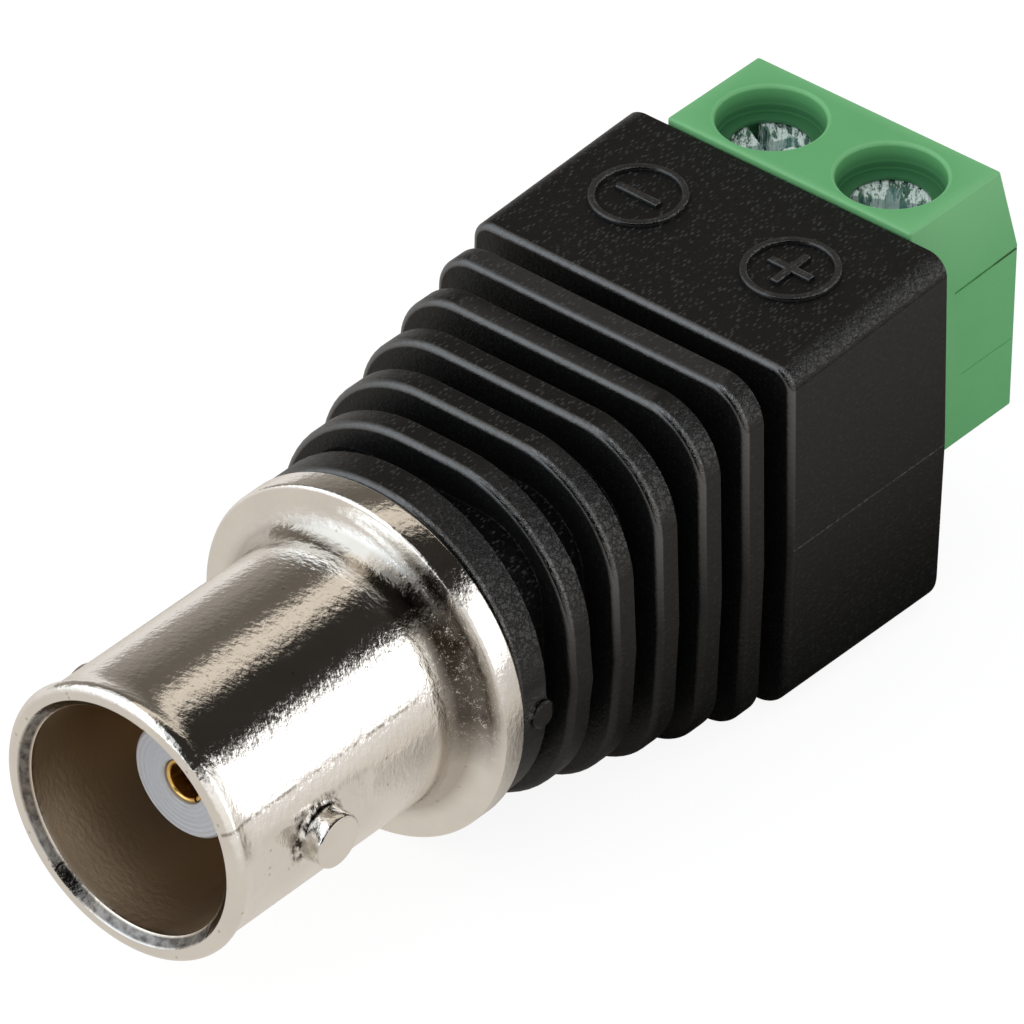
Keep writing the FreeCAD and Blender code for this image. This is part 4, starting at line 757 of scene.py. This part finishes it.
class ADAPTER_OT_contact(bpy.types.Operator):
    """Build the insulator with its turned face and the gold centre contact"""

    bl_idname = "adapter.contact"
    bl_label = "Insulator and contact"

    def execute(self, context):
        sizes = context.scene.adapter_contact
        finish = context.scene.adapter_finish
        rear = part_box("insulator")[0][0]
        face, gap, bevel = -sizes.nose_behind, 0.02 * MM, 0.1 * MM
        inner = sizes.contact + gap
        step_back = -SEAT_WALL - gap
        profile = [(rear, inner), (face - bevel * 0.5, inner)]
        steps, steps_a_ring = 36, 6
        for step in range(steps + 1):
            radius = inner + bevel * 0.5 + (sizes.nose - bevel * 1.5 - inner) * step / steps
            wave = sizes.ring_wave * (1 - math.cos(step * FULL_TURN / steps_a_ring))
            profile.append((face - wave, radius))
        profile += [(face - bevel, sizes.nose), (step_back, sizes.nose),
                    (step_back, sizes.shoulder), (rear, sizes.shoulder)]
        insulator = solid("socket_insulator", lathe(profile, 96))
        soften(insulator, weighted=False)
        finish_piece(insulator, insulator_finish(finish), "white_plastic", "insulator")

        tip, wall = -sizes.contact_behind, 0.09 * MM
        collar_front, collar_back = -TAIL_END, -TAIL_END - 0.5 * MM
        cup, cup_deep, cup_tip = 0.45 * MM, 1.5 * MM, 0.1 * MM
        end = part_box("center_contact")[0][0]
        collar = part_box("center_contact")[1][2]
        profile = [(tip - sizes.hole_depth, sizes.hole * 0.3), (tip - sizes.hole_depth, sizes.hole)]
        profile += run((tip - sizes.hole_depth, sizes.hole), (tip - wall, sizes.hole), 4)
        profile += arc((tip - wall, sizes.hole + wall), wall, -90, 0, 4)
        profile += arc((tip - wall, sizes.contact - wall), wall, 0, 90, 4)
        profile += [(collar_front, sizes.contact), (collar_front, collar), (collar_back, collar),
                    (collar_back, sizes.contact), (end, sizes.contact), (end, cup),
                    (end + cup_deep, cup), (end + cup_deep, cup_tip)]
        contact = solid("centre_contact", lathe(profile, 64, caps=True))
        slit_long, slit_half, slit_from, slit_to = 4.0 * MM, 0.06 * MM, 0.2 * MM, 1.0 * MM
        slit = solid("slit", box_shape((tip - slit_long, slit_from, -slit_half),
                                       (tip + 0.1 * MM, slit_to, slit_half)),
                     Matrix.Rotation(math.radians(-45), 4, "X"))
        combine(contact, [slit], "DIFFERENCE")
        soften(contact)
        finish_piece(contact, gold_finish(finish), "gold", "center_contact")
        return {"FINISHED"}


# Moulded body

SIDE_LEAN_TOP = math.tan(math.radians(1.25))
SIDE_LEAN_LOW = math.tan(math.radians(1.1))
TOP_SLOPE = 0.34 / 8.0
CORNER_STEPS = 16


def section(x, half, top, low, corner_top, corner_low, inset=0.0):
    """Loop round a section of the body at x, widest at the seam and drawn in by an inset."""
    half_top = half - top * SIDE_LEAN_TOP - inset
    half_low = half - low * SIDE_LEAN_LOW - inset
    least = 0.03 * MM
    radius_top = max(corner_top - inset, least)
    radius_low = max(corner_low - inset, least)
    side, up, down = half_top - radius_top, top - inset - radius_top, -(low - inset - radius_low)
    side_low = half_low - radius_low
    loop = [(half - inset, 0.0)]
    loop += arc((side, up), radius_top, 0, 90, CORNER_STEPS)
    loop += arc((-side, up), radius_top, 90, 180, CORNER_STEPS)
    loop += [(inset - half, 0.0)]
    loop += arc((-side_low, down), radius_low, 180, 270, CORNER_STEPS)
    loop += arc((side_low, down), radius_low, 270, 360, CORNER_STEPS)
    return [(x, *point) for point in loop]


def round_section(x, radius):
    """Loop round a circle at x, with as many points as a section of the body."""
    spare, angles = 0.6, []
    for index in range(4):
        if index in (0, 2):
            angles.append(QUARTER * index)
        angles += [QUARTER * (index + (step + spare) / (CORNER_STEPS + 2 * spare))
                   for step in range(CORNER_STEPS + 1)]
    return [(x, radius * math.cos(angle), radius * math.sin(angle)) for angle in angles]


def edge_steps(edge, steps):
    """Pairs of setback and inset along a rounded edge, from the face to the side."""
    return [(edge * (1 - math.cos(QUARTER * step / steps)),
             edge * (1 - math.sin(QUARTER * step / steps))) for step in range(steps + 1)]


def rib_shape(share):
    """Half width, top, depth and corner radii of a rib by its share of the way back."""
    half = (6.2 + 0.46 * share) * MM
    top = (6.37 + 0.66 * share) * MM
    low = (6.15 + 0.4 * share) * MM
    corner = (6.0 - 4.45 * share) * MM
    return half, top, low, corner, corner


def block_front(sizes):
    """Distance from the mouth to the front of the carrier block."""
    return FIRST_BACK + (sizes.rib + sizes.groove) * (sizes.rib_count - 1) + sizes.groove


def body_loops(sizes):
    """Loops and edge shares of the body, from the seat of the tail back to the block's pocket."""
    start, seat = 12.06 * MM, 4.22 * MM
    core = (5.05 * MM, 5.22 * MM, 5.0 * MM, 2.6 * MM, 2.6 * MM)
    loops = [(round_section(-TAIL_END, seat), 0.0), (round_section(-start, seat), 0.0)]

    def add(place, shape, inset=0.0, share=0.0):
        loops.append((section(place, *shape, inset=inset), share))

    def add_front(place, shape, edge, steps):
        for setback, inset in edge_steps(edge, steps):
            add(place - setback, shape, inset, 1.0 if 0 < inset < edge else 0.0)

    back_round, back_share, rear_share = 0.07 * MM, 0.8, 0.6
    for index in range(sizes.rib_count):
        shape = rib_shape(index / (sizes.rib_count - 1))
        back = FIRST_BACK + (sizes.rib + sizes.groove) * index
        front = start if index == 0 else back - sizes.rib
        if index:
            add(-front, core)
        add_front(-front, shape, sizes.rib_edge, 6)
        for setback, inset in reversed(edge_steps(back_round, 3)):
            add(-back + setback, shape, inset, back_share if inset else 0.0)
        add(-back, core)
    front = block_front(sizes)
    rear = front + sizes.block_length
    corners = (sizes.corner_top, sizes.corner_low)
    face = (6.88 * MM, 7.0 * MM, 6.66 * MM, *corners)
    tail = (6.928 * MM, 7.34 * MM, 6.737 * MM, *corners)
    add(-front, core)
    add_front(-front, face, sizes.block_edge, 7)
    margin, steps = 0.33 * MM, 12
    for step in range(1, steps):
        part = step / steps
        middle = [near + (far - near) * part for near, far in zip(face, tail)]
        add(-front - margin - (rear - front - 2 * margin) * part, middle)
    bevel, pocket_deep = 0.12 * MM, 2.32 * MM
    for setback, inset in ((bevel, 0.0), (bevel * 0.45, bevel * 0.35), (0.0, bevel)):
        add(-rear + setback, tail, inset, rear_share if inset else 0.0)
    pocket = (4.62 * MM, 6.32 * MM, 1.92 * MM, 0.06 * MM, 0.06 * MM)
    add(-rear, pocket)
    add(-rear + pocket_deep, pocket)
    return loops


def mark_shapes(sizes):
    """The ring and the bars of both pole marks, square to the block's sloping top."""
    slope = Matrix.Rotation(math.atan(TOP_SLOPE), 4, "Y")
    ring, width, sink, high = sizes.mark_ring, 0.27 * MM, 0.2 * MM, sizes.mark_height
    edge = 0.09 * MM
    profile = [(-sink, ring - width)]
    profile += arc((high - edge, ring - width + edge), edge, -90, 0, 4)
    profile += arc((high - edge, ring - edge), edge, 0, 90, 4)
    profile += [(-sink, ring)]
    arm, half = 0.88 * MM, 0.16 * MM
    middle, apart, level = -28.85 * MM, 3.2 * MM, 7.1806 * MM
    for side in (-1, 1):
        place = Matrix.Translation((middle, apart * side, level)) @ slope
        yield lathe(profile, 72), place @ Matrix.Rotation(-QUARTER, 4, "Y")
        bars = [((-half, -arm), (half, arm))]
        if side > 0:
            bars.append(((-arm, -half), (arm, half)))
        for (x_low, y_low), (x_high, y_high) in bars:
            rows = [(-sink, 0.0)] + [(high - rise, inset) for inset, rise in edge_steps(edge, 4)]
            yield skin([[(x_low + inset, y_low + inset, z), (x_high - inset, y_low + inset, z),
                         (x_high - inset, y_high - inset, z), (x_low + inset, y_high - inset, z)]
                        for z, inset in rows]), place


def mark_edges(piece, values):
    """Store one edge share for each point of the piece."""
    layer = piece.data.attributes.new("edge", "FLOAT", "POINT")
    layer.data.foreach_set("value", values)


def key(point):
    """A point to a thousandth of a millimetre, to find it again after fusing."""
    return tuple(round(part / MM, 3) for part in point)


class ADAPTER_OT_body(bpy.types.Operator):
    """Build the black body: ribs on a core, carrier block, marks and gate mark"""

    bl_idname = "adapter.body"
    bl_label = "Moulded body"

    def execute(self, context):
        sizes = context.scene.adapter_body
        rows = body_loops(sizes)
        points, faces = skin([loop for loop, share in rows])
        body = solid("ribbed_body", (points, faces))
        shares = {key(point): share for loop, share in rows for point in loop}
        nub, nub_end, nub_x, nub_z = 0.5 * MM, 0.42 * MM, -13.05 * MM, -0.15 * MM
        nub_foot, nub_edge, nub_face = 5.0 * MM, 6.18 * MM, 6.25 * MM
        gate = lathe([(nub_foot, nub), (nub_edge, nub), (nub_face, nub_end)], 40, caps=True)
        extras = [solid("gate", gate, Matrix.Translation((nub_x, 0, nub_z))
                        @ Matrix.Rotation(QUARTER, 4, "Z"))]
        extras += [solid("mark", shape, place) for shape, place in mark_shapes(sizes)]
        combine(body, extras, "UNION")
        soften(body, sharp=40.0)
        values = []
        # The edge share paints a highlight through the specular level: full up high, faint low
        # down.
        bright_height, least_share, mark_share = 3.0 * MM, 0.1, 0.6
        top_level, top_front = 7.05 * MM, -24.58 * MM
        for vertex in body.data.vertices:
            x, z = vertex.co.x, vertex.co.z
            raised = z > top_level + (top_front - x) * TOP_SLOPE
            share = shares.get(key(vertex.co), 0.0) * max(least_share, min(1.0, z / bright_height))
            values.append(mark_share if raised else share)
        mark_edges(body, values)
        finish_piece(body, body_finish(context.scene.adapter_finish, sizes), "black_plastic",
                     "moulded_body")
        return {"FINISHED"}


# Terminal block

SLOPE_X, SLOPE_Z, REAR_TOP, REAR_LOW = -37.35 * MM, 4.0 * MM, -38.46 * MM, -38.4 * MM
BEHIND = -38.6 * MM


def upright(sizes, side):
    """Turn what is made along X to stand up on a pole's axis."""
    return Matrix.Translation((POLE_X, side * sizes.pitch / 2, 0)) \
        @ Matrix.Rotation(-QUARTER, 4, "Y")


def well_profile(sizes):
    """Cutter for one screw well, from above the block's top down into the clamp chamber."""
    rounding = sizes.well_round
    top = sizes.top
    foot = top - sizes.well_depth
    keeper, keeper_thick, straight = 1.37 * MM, 0.12 * MM, 0.5 * MM
    hole, hole_top, hole_low = 1.55 * MM, 5.31 * MM, 4.9 * MM
    clear, over, above = 0.02 * MM, 0.01 * MM, 0.3 * MM
    mouth = sizes.well + rounding + clear
    profile = [(top + above, mouth), (top + over, mouth)]
    profile += [(place, radius) for radius, place in
                arc((sizes.well + rounding, top - rounding), rounding, 90, 180, 6)]
    profile += [(top - straight, sizes.well), (foot, sizes.well_foot), (foot, keeper),
                (foot - keeper_thick, keeper), (foot - keeper_thick, sizes.well_foot),
                (hole_top, sizes.well_foot), (hole_top, hole), (hole_low, hole)]
    return profile


def entry_shape(y):
    """Cutter for one wire entry, flared at the rear."""
    half, high, low, flare = 1.7 * MM, 2.0 * MM, 1.4 * MM, 0.35 * MM
    throat, inside = -38.15 * MM, -36.8 * MM
    return skin([[(x, y + across * (half + grow), high + grow if up > 0 else -(low + grow))
                  for across, up in ((-1, -1), (1, -1), (1, 1), (-1, 1))]
                 for x, grow in ((BEHIND, flare), (throat, 0.0), (inside, 0.0))])


def seam_shape(sizes, side, end, near, far, deep):
    """Cutter for a parting seam in a side, from its height at the rear to that at its end."""
    inner, outer, narrow, wide = sizes.half - deep, sizes.half + 0.1 * MM, 0.03 * MM, 0.05 * MM
    return skin([[(x, y * side, level + lift)
                  for y, lift in ((inner, -narrow), (outer, -wide), (outer, wide), (inner, narrow))]
                 for x, level in ((BEHIND, near), (end, far))])


class ADAPTER_OT_block(bpy.types.Operator):
    """Build the green terminal block with its wells, chambers and wire entries"""

    bl_idname = "adapter.block"
    bl_label = "Terminal block"

    def execute(self, context):
        sizes = context.scene.adapter_terminal
        outline = [(BLOCK_FRONT, sizes.top), (SLOPE_X, sizes.top), (REAR_TOP, SLOPE_Z),
                   (REAR_LOW, -sizes.low), (BLOCK_FRONT, -sizes.low)]
        loops = [[(x, side * sizes.half, z) for x, z in outline] for side in (-1, 1)]
        block = solid("terminal_block", skin(loops))
        rounding = block.modifiers.new("edges", "BEVEL")
        rounding.width = sizes.edge
        rounding.segments = 3
        rounding.limit_method = "ANGLE"
        rounding.angle_limit = math.radians(15)
        settle(block)
        chamber, chamber_low, chamber_top = 2.07 * MM, -1.9 * MM, 5.03 * MM
        tongue_back, tongue_front = -32.8 * MM, -30.3 * MM
        tongue_half, tongue_top = 4.6 * MM, 6.3 * MM
        tongue = solid("tongue", box_shape((tongue_back, -tongue_half, chamber_low),
                                           (tongue_front, tongue_half, tongue_top)))
        combine(block, [tongue], "UNION")
        cutters = []
        for side in (-1, 1):
            y = side * sizes.pitch / 2
            cutters.append(solid("well", lathe(well_profile(sizes), 128, caps=True),
                                 upright(sizes, side)))
            cutters.append(solid("chamber", box_shape(
                (POLE_X - chamber, y - chamber, chamber_low),
                (POLE_X + chamber, y + chamber, chamber_top))))
            cutters.append(solid("entry", entry_shape(y)))
        upper = (-35.1 * MM, 3.9 * MM, 3.8 * MM, 0.08 * MM)
        lower = (-35.6 * MM, 0.3 * MM, 0.3 * MM, 0.02 * MM)
        for side in (-1, 1):
            cutters += [solid("seam", seam_shape(sizes, side, *seam)) for seam in (upper, lower)]
        combine(block, cutters, "DIFFERENCE")
        soften(block, sharp=34.0)
        # Edge share 1 on the wells' rims and the top outer edges, where the material paints a
        # highlight.
        values = []
        for vertex in block.data.vertices:
            x, y, z = vertex.co
            outer = abs(abs(y) - sizes.half) < sizes.edge * 1.1 or x < SLOPE_X + sizes.edge
            beside = math.hypot(x - POLE_X, abs(y) - sizes.pitch / 2)
            rim = beside < sizes.well + sizes.well_round * 0.9 and z > sizes.top - sizes.well_round
            values.append(1.0 if rim or outer and z > sizes.top - sizes.edge * 1.1 else 0.0)
        mark_edges(block, values)
        finish_piece(block, block_finish(context.scene.adapter_finish, sizes), "green_plastic",
                     "terminal_housing")
        return {"FINISHED"}


# Screws and the hidden metal

THREAD = {"Radius": 1.45 * MM, "Pitch": 0.5 * MM, "Turns": 6.0, "Ridge": 0.12 * MM,
          "Start": 1.8 * MM}


def thread_tree(material):
    """Geometry Nodes: a thread wound round a shank."""
    tree = bpy.data.node_groups.new("Screw thread", "GeometryNodeTree")
    tree.interface.new_socket(name="Geometry", in_out="INPUT", socket_type="NodeSocketGeometry")
    sockets = {}
    for label, value in THREAD.items():
        socket = tree.interface.new_socket(name=label, in_out="INPUT",
                                           socket_type="NodeSocketFloat")
        socket.default_value = value
        sockets[label] = socket.identifier
    tree.interface.new_socket(name="Geometry", in_out="OUTPUT", socket_type="NodeSocketGeometry")
    nodes = Nodes(tree)
    given = tree.nodes.new("NodeGroupInput").outputs
    helix = nodes.add("GeometryNodeCurveSpiral", {
        "Resolution": 28, "Rotations": given["Turns"], "Start Radius": given["Radius"],
        "End Radius": given["Radius"], "Height": nodes.times(given["Pitch"], given["Turns"])})
    ridge = nodes.add("GeometryNodeCurvePrimitiveCircle", {
        "Resolution": 4, "Radius": given["Ridge"]})
    swept = nodes.add("GeometryNodeCurveToMesh", {
        "Curve": helix.outputs[0], "Profile Curve": ridge.outputs[0], "Fill Caps": True})
    lift = nodes.add("ShaderNodeCombineXYZ", {"Z": given["Start"]})
    moved = nodes.add("GeometryNodeTransform", {
        "Geometry": swept.outputs[0], "Translation": lift.outputs[0]})
    real = nodes.add("GeometryNodeRealizeInstances", {"Geometry": moved.outputs[0]})
    coated = nodes.add("GeometryNodeSetMaterial", {
        "Geometry": real.outputs[0], "Material": material})
    nodes.add("NodeGroupOutput", {0: coated.outputs[0]})
    return tree, sockets


class ADAPTER_OT_screws(bpy.types.Operator):
    """Build the two clamp screws, each with its wound thread"""

    bl_idname = "adapter.screws"
    bl_label = "Clamp screws"

    def execute(self, context):
        sizes = context.scene.adapter_terminal
        material = zinc_finish(context.scene.adapter_finish)
        tree, sockets = thread_tree(material)
        bevel, point, ridge, head_high, start = 0.1 * MM, 0.2 * MM, 0.16 * MM, 1.0 * MM, 0.35 * MM
        slot_half, slot_long, cross_long, slot_deep = 0.25 * MM, 2.0 * MM, 0.95 * MM, 0.75 * MM
        core = sizes.shank - ridge
        for pole, side, turn in (("minus", -1, 62.0), ("plus", 1, 118.0)):
            low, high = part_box("clamp_screw_" + pole)
            top, bottom = high[2], low[2]
            under, floor = top - head_high, top - slot_deep
            profile = [(bottom, core - point), (bottom + point, core), (under, core),
                       (under, sizes.head)]
            profile += run((under, sizes.head), (top - bevel, sizes.head), 4)
            profile += worn_end(top, sizes.head, bevel)
            screw = solid("screw_" + pole, lathe(profile, 72, caps=True), upright(sizes, side))
            place = Matrix.Translation((POLE_X, side * sizes.pitch / 2, 0))
            spin = place @ Matrix.Rotation(math.radians(turn), 4, "Z")
            cutters = [solid("slot", box_shape((-x, -y, floor), (x, y, top + MM)), spin)
                       for x, y in ((slot_long, slot_half), (slot_half, cross_long))]
            combine(screw, cutters, "DIFFERENCE")
            soften(screw, sharp=30.0)
            finish_piece(screw, material, "zinc", "clamp_screw_" + pole, body="screw_" + pole)
            thread = solid("thread_" + pole, box_shape((0, 0, 0), (MM, MM, MM)))
            step = thread.modifiers.new("thread", "NODES")
            step.node_group = tree
            for label, value in (("Radius", core), ("Pitch", sizes.thread_pitch), ("Turns", 6.0),
                                 ("Ridge", ridge), ("Start", bottom + start)):
                step[sockets[label]] = value
            settle(thread)
            thread.data.transform(place)
            soften(thread, sharp=60.0, weighted=False)
            finish_piece(thread, material, "zinc", body="screw_" + pole)
        return {"FINISHED"}


class ADAPTER_OT_metal(bpy.types.Operator):
    """Finish the hidden metal: cages, strips, leads and solder"""

    bl_idname = "adapter.metal"
    bl_label = "Hidden metal"

    def execute(self, context):
        finish = context.scene.adapter_finish
        groups = (
            (metal_finish("cage_zinc", finish.zinc, 0.6, 0.5, 0.2),
             ("clamp_cage_minus", "clamp_cage_plus")),
            (metal_finish("strip_tin", finish.tin, 0.7, 0.4, 0.22),
             ("contact_strip_minus", "contact_strip_plus")),
            (metal_finish("drawn_copper", finish.copper, 0.6, 0.3, 0.2),
             ("signal_lead", "ground_lead")),
            (metal_finish("bright_solder", finish.solder, 0.75, 0.35, 0.16),
             ("solder_center", "solder_ground", "solder_plus", "solder_minus")),
        )
        for material, names in groups:
            for name in names:
                dress_node(name, material)
        return {"FINISHED"}


# Stage

# Studio that metal mirrors: cards round the X axis, each with the angle where it starts and ends,
# from +Y towards +Z in degrees, its brightness and its warmth. The light fades between two cards.
STUDIO = (
    (-180, -168, 0.34, 0.35),  # wall behind
    (-137, -132, 0.90, 0.07),  # rim card
    (-118, -76, 0.22, 1.00),  # floor in the object's shade
    (-50, -36, 0.47, 0.65),  # open floor
    (-18, 8, 0.77, 0.15),  # lower half of the white card
    (28, 38, 0.87, 0.05),  # upper half of the white card
    (51, 90, 0.022, 0.50),  # black flag
    (101, 113, 0.64, 0.50),  # cream strip
    (119, 139, 0.11, 0.55),  # gap above the strip
    (168, 180, 0.27, 0.40),  # wall overhead
)
WARM_LOSS = (0.0, 0.2, 0.45)
WHITE = (1.0, 1.0, 1.0)


def make_world():
    """A white surround for the camera, a plain soft light, and a studio for reflections."""
    world = bpy.data.worlds.new("soft_studio")
    bpy.context.scene.world = world
    world.use_nodes = True
    nodes = Nodes(world.node_tree)
    nodes.tree.nodes.clear()
    x, y, z = nodes.parts(nodes.add("ShaderNodeTexCoord").outputs["Generated"])
    angle = nodes.maths("ARCTAN2", z, y)
    ramp = nodes.add("ShaderNodeValToRGB", {"Fac": nodes.spread(angle, -math.pi, math.pi)})
    stops = ramp.color_ramp.elements
    ends = [(degrees, [bright * (1.0 - warm * loss) for loss in WARM_LOSS])
            for first, last, bright, warm in STUDIO for degrees in (first, last)]
    for index, (degrees, colour) in enumerate(ends):
        place = (degrees + 180) / 360
        stop = stops[index] if index < 2 else stops.new(place)
        stop.position = place
        stop.color = (*colour, 1.0)
    shine_middle, shine_none, shine_full = [math.radians(part) for part in (134.0, 38.0, 20.0)]
    ahead = nodes.times(nodes.spread(x, 0.10, 0.32),
                        nodes.spread(nodes.off(angle, shine_middle), shine_none, shine_full))
    shine = nodes.blend(ahead, ramp.outputs[0], (0.78, 0.86, 0.94))
    seen, studio, sky = [
        nodes.add("ShaderNodeBackground", {"Color": colour, "Strength": strength}).outputs[0]
        for colour, strength in ((WHITE, 1.0), (shine, 1.25), ((0.97, 0.98, 1.0), 0.70))]
    path = nodes.add("ShaderNodeLightPath").outputs
    lit = nodes.choose(path["Is Glossy Ray"], sky, studio)
    nodes.add("ShaderNodeOutputWorld", {"Surface": nodes.choose(path["Is Camera Ray"], lit, seen)})


def make_floor():
    """A pale floor that stays white in view and keeps the object's shadow."""
    half, thickness, gap = 1.5, 0.01, 0.01 * MM
    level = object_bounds()[0][2] - gap
    floor = solid("pale_floor", box_shape((-half, -half, level - thickness), (half, half, level)))
    material = bpy.data.materials.new("pale_floor")
    material.use_nodes = True
    nodes = Nodes(material.node_tree)
    nodes.tree.nodes.clear()
    x, y = nodes.parts(nodes.add("ShaderNodeTexCoord").outputs["Object"])[:2]
    wide = nodes.off(y)
    # Reflections see the floor as a glow with a painted shadow: dark beside the object, paler far
    # off.
    beside, ahead, far = (9.0, 18.5), (-20.0, -12.0), (16.0, 48.0)
    shade = nodes.blend(nodes.fade(wide, beside), (0.028, 0.025, 0.021), (0.72, 0.665, 0.59))
    shade = nodes.blend(nodes.fade(x, ahead), shade, (0.70, 0.655, 0.60))
    shade = nodes.blend(nodes.fade(wide, far), shade, (0.86, 0.835, 0.81))
    matte = nodes.add("ShaderNodeBsdfDiffuse", {"Color": (0.82, 0.82, 0.82)}).outputs[0]
    mirrored, glow = [
        nodes.add("ShaderNodeEmission", {"Color": colour, "Strength": strength}).outputs[0]
        for colour, strength in ((shade, 1.0), (WHITE, 1.12))]
    path = nodes.add("ShaderNodeLightPath").outputs
    lit = nodes.choose(path["Is Glossy Ray"], matte, mirrored)
    seen = nodes.choose(nodes.times(path["Is Camera Ray"], 0.8), lit, glow)
    nodes.add("ShaderNodeOutputMaterial", {"Surface": seen})
    floor.data.materials.append(material)
    floor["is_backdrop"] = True


def make_lamp(name, direction, distance, size, power, colour):
    """A soft square lamp aimed at the object's middle."""
    lamp = bpy.data.lights.new(name, "AREA")
    lamp.shape = "RECTANGLE"
    lamp.size, lamp.size_y = size
    lamp.energy = power
    lamp.color = colour
    holder = bpy.data.objects.new(name, lamp)
    aim = Vector(direction).normalized()
    middle = Vector((-19.0 * MM, 0, 0))
    holder.matrix_world = Matrix.Translation(middle + aim * distance) \
        @ aim.to_track_quat("Z", "Y").to_matrix().to_4x4()
    bpy.context.scene.collection.objects.link(holder)


def make_camera():
    """The camera at the picture's angle, with a 362 mm lens for an image of 1024 by 1024."""
    turn, rise, roll = math.radians(130.2085), math.radians(36.622), math.radians(0.3419)
    across, upward, distance = 12.1747 * MM, 9.7646 * MM, 320.6576 * MM
    focal_pixels, picture_pixels, sensor = 10298.06, 1024, 36.0
    back = Vector((math.sin(turn) * math.cos(rise), -math.cos(turn) * math.cos(rise),
                   math.sin(rise)))
    right = (-back).cross(Vector((0, 0, 1))).normalized()
    up = right.cross(-back)
    side = right * math.cos(roll) + up * math.sin(roll)
    top = up * math.cos(roll) - right * math.sin(roll)
    camera = bpy.data.cameras.new("camera")
    camera.sensor_width = sensor
    camera.lens = sensor * focal_pixels / picture_pixels
    camera.clip_start = 0.01
    camera.clip_end = 20.0
    holder = bpy.data.objects.new("camera", camera)
    basis = Matrix((side, top, back)).transposed().to_4x4()
    holder.matrix_world = Matrix.Translation(back * distance + side * across + top * upward) @ basis
    bpy.context.scene.collection.objects.link(holder)
    bpy.context.scene.camera = holder


class ADAPTER_OT_stage(bpy.types.Operator):
    """Set the floor, the soft studio light and the camera"""

    bl_idname = "adapter.stage"
    bl_label = "Stage"

    def execute(self, context):
        context.scene.view_settings.view_transform = "Standard"
        make_world()
        make_floor()
        make_lamp("front_card", (0.60, -0.52, 0.61), 0.5, (0.80, 0.80), 1.7, (0.90, 0.95, 1.0))
        make_lamp("side_card", (-0.613, 0.742, 0.27), 0.6, (0.50, 0.40), 0.62, (0.96, 0.98, 1.0))
        make_camera()
        return {"FINISHED"}


STEPS = (ADAPTER_OT_shell, ADAPTER_OT_contact, ADAPTER_OT_body, ADAPTER_OT_block,
         ADAPTER_OT_screws, ADAPTER_OT_metal, ADAPTER_OT_stage)


class ADAPTER_PT_panel(bpy.types.Panel):
    """Lists the pieces of the adapter in the sidebar"""

    bl_idname = "ADAPTER_PT_panel"
    bl_label = "Adapter"
    bl_space_type = "VIEW_3D"
    bl_region_type = "UI"
    bl_category = "Adapter"

    def draw(self, context):
        for step in STEPS:
            self.layout.operator(step.bl_idname)


GROUPS = {"adapter_shell": ShellSizes, "adapter_contact": ContactSizes, "adapter_body": BodySizes,
          "adapter_terminal": TerminalSizes, "adapter_finish": Finish}


def register():
    for kind in (*GROUPS.values(), *STEPS, ADAPTER_PT_panel):
        bpy.utils.register_class(kind)
    for name, kind in GROUPS.items():
        setattr(bpy.types.Scene, name, PointerProperty(type=kind))


def unregister():
    for name in GROUPS:
        delattr(bpy.types.Scene, name)
    for kind in reversed((*GROUPS.values(), *STEPS, ADAPTER_PT_panel)):
        bpy.utils.unregister_class(kind)


def main():
    register()
    for step in STEPS:
        area, name = step.bl_idname.split(".")
        getattr(getattr(bpy.ops, area), name)()


if __name__ == "__main__":
    main()
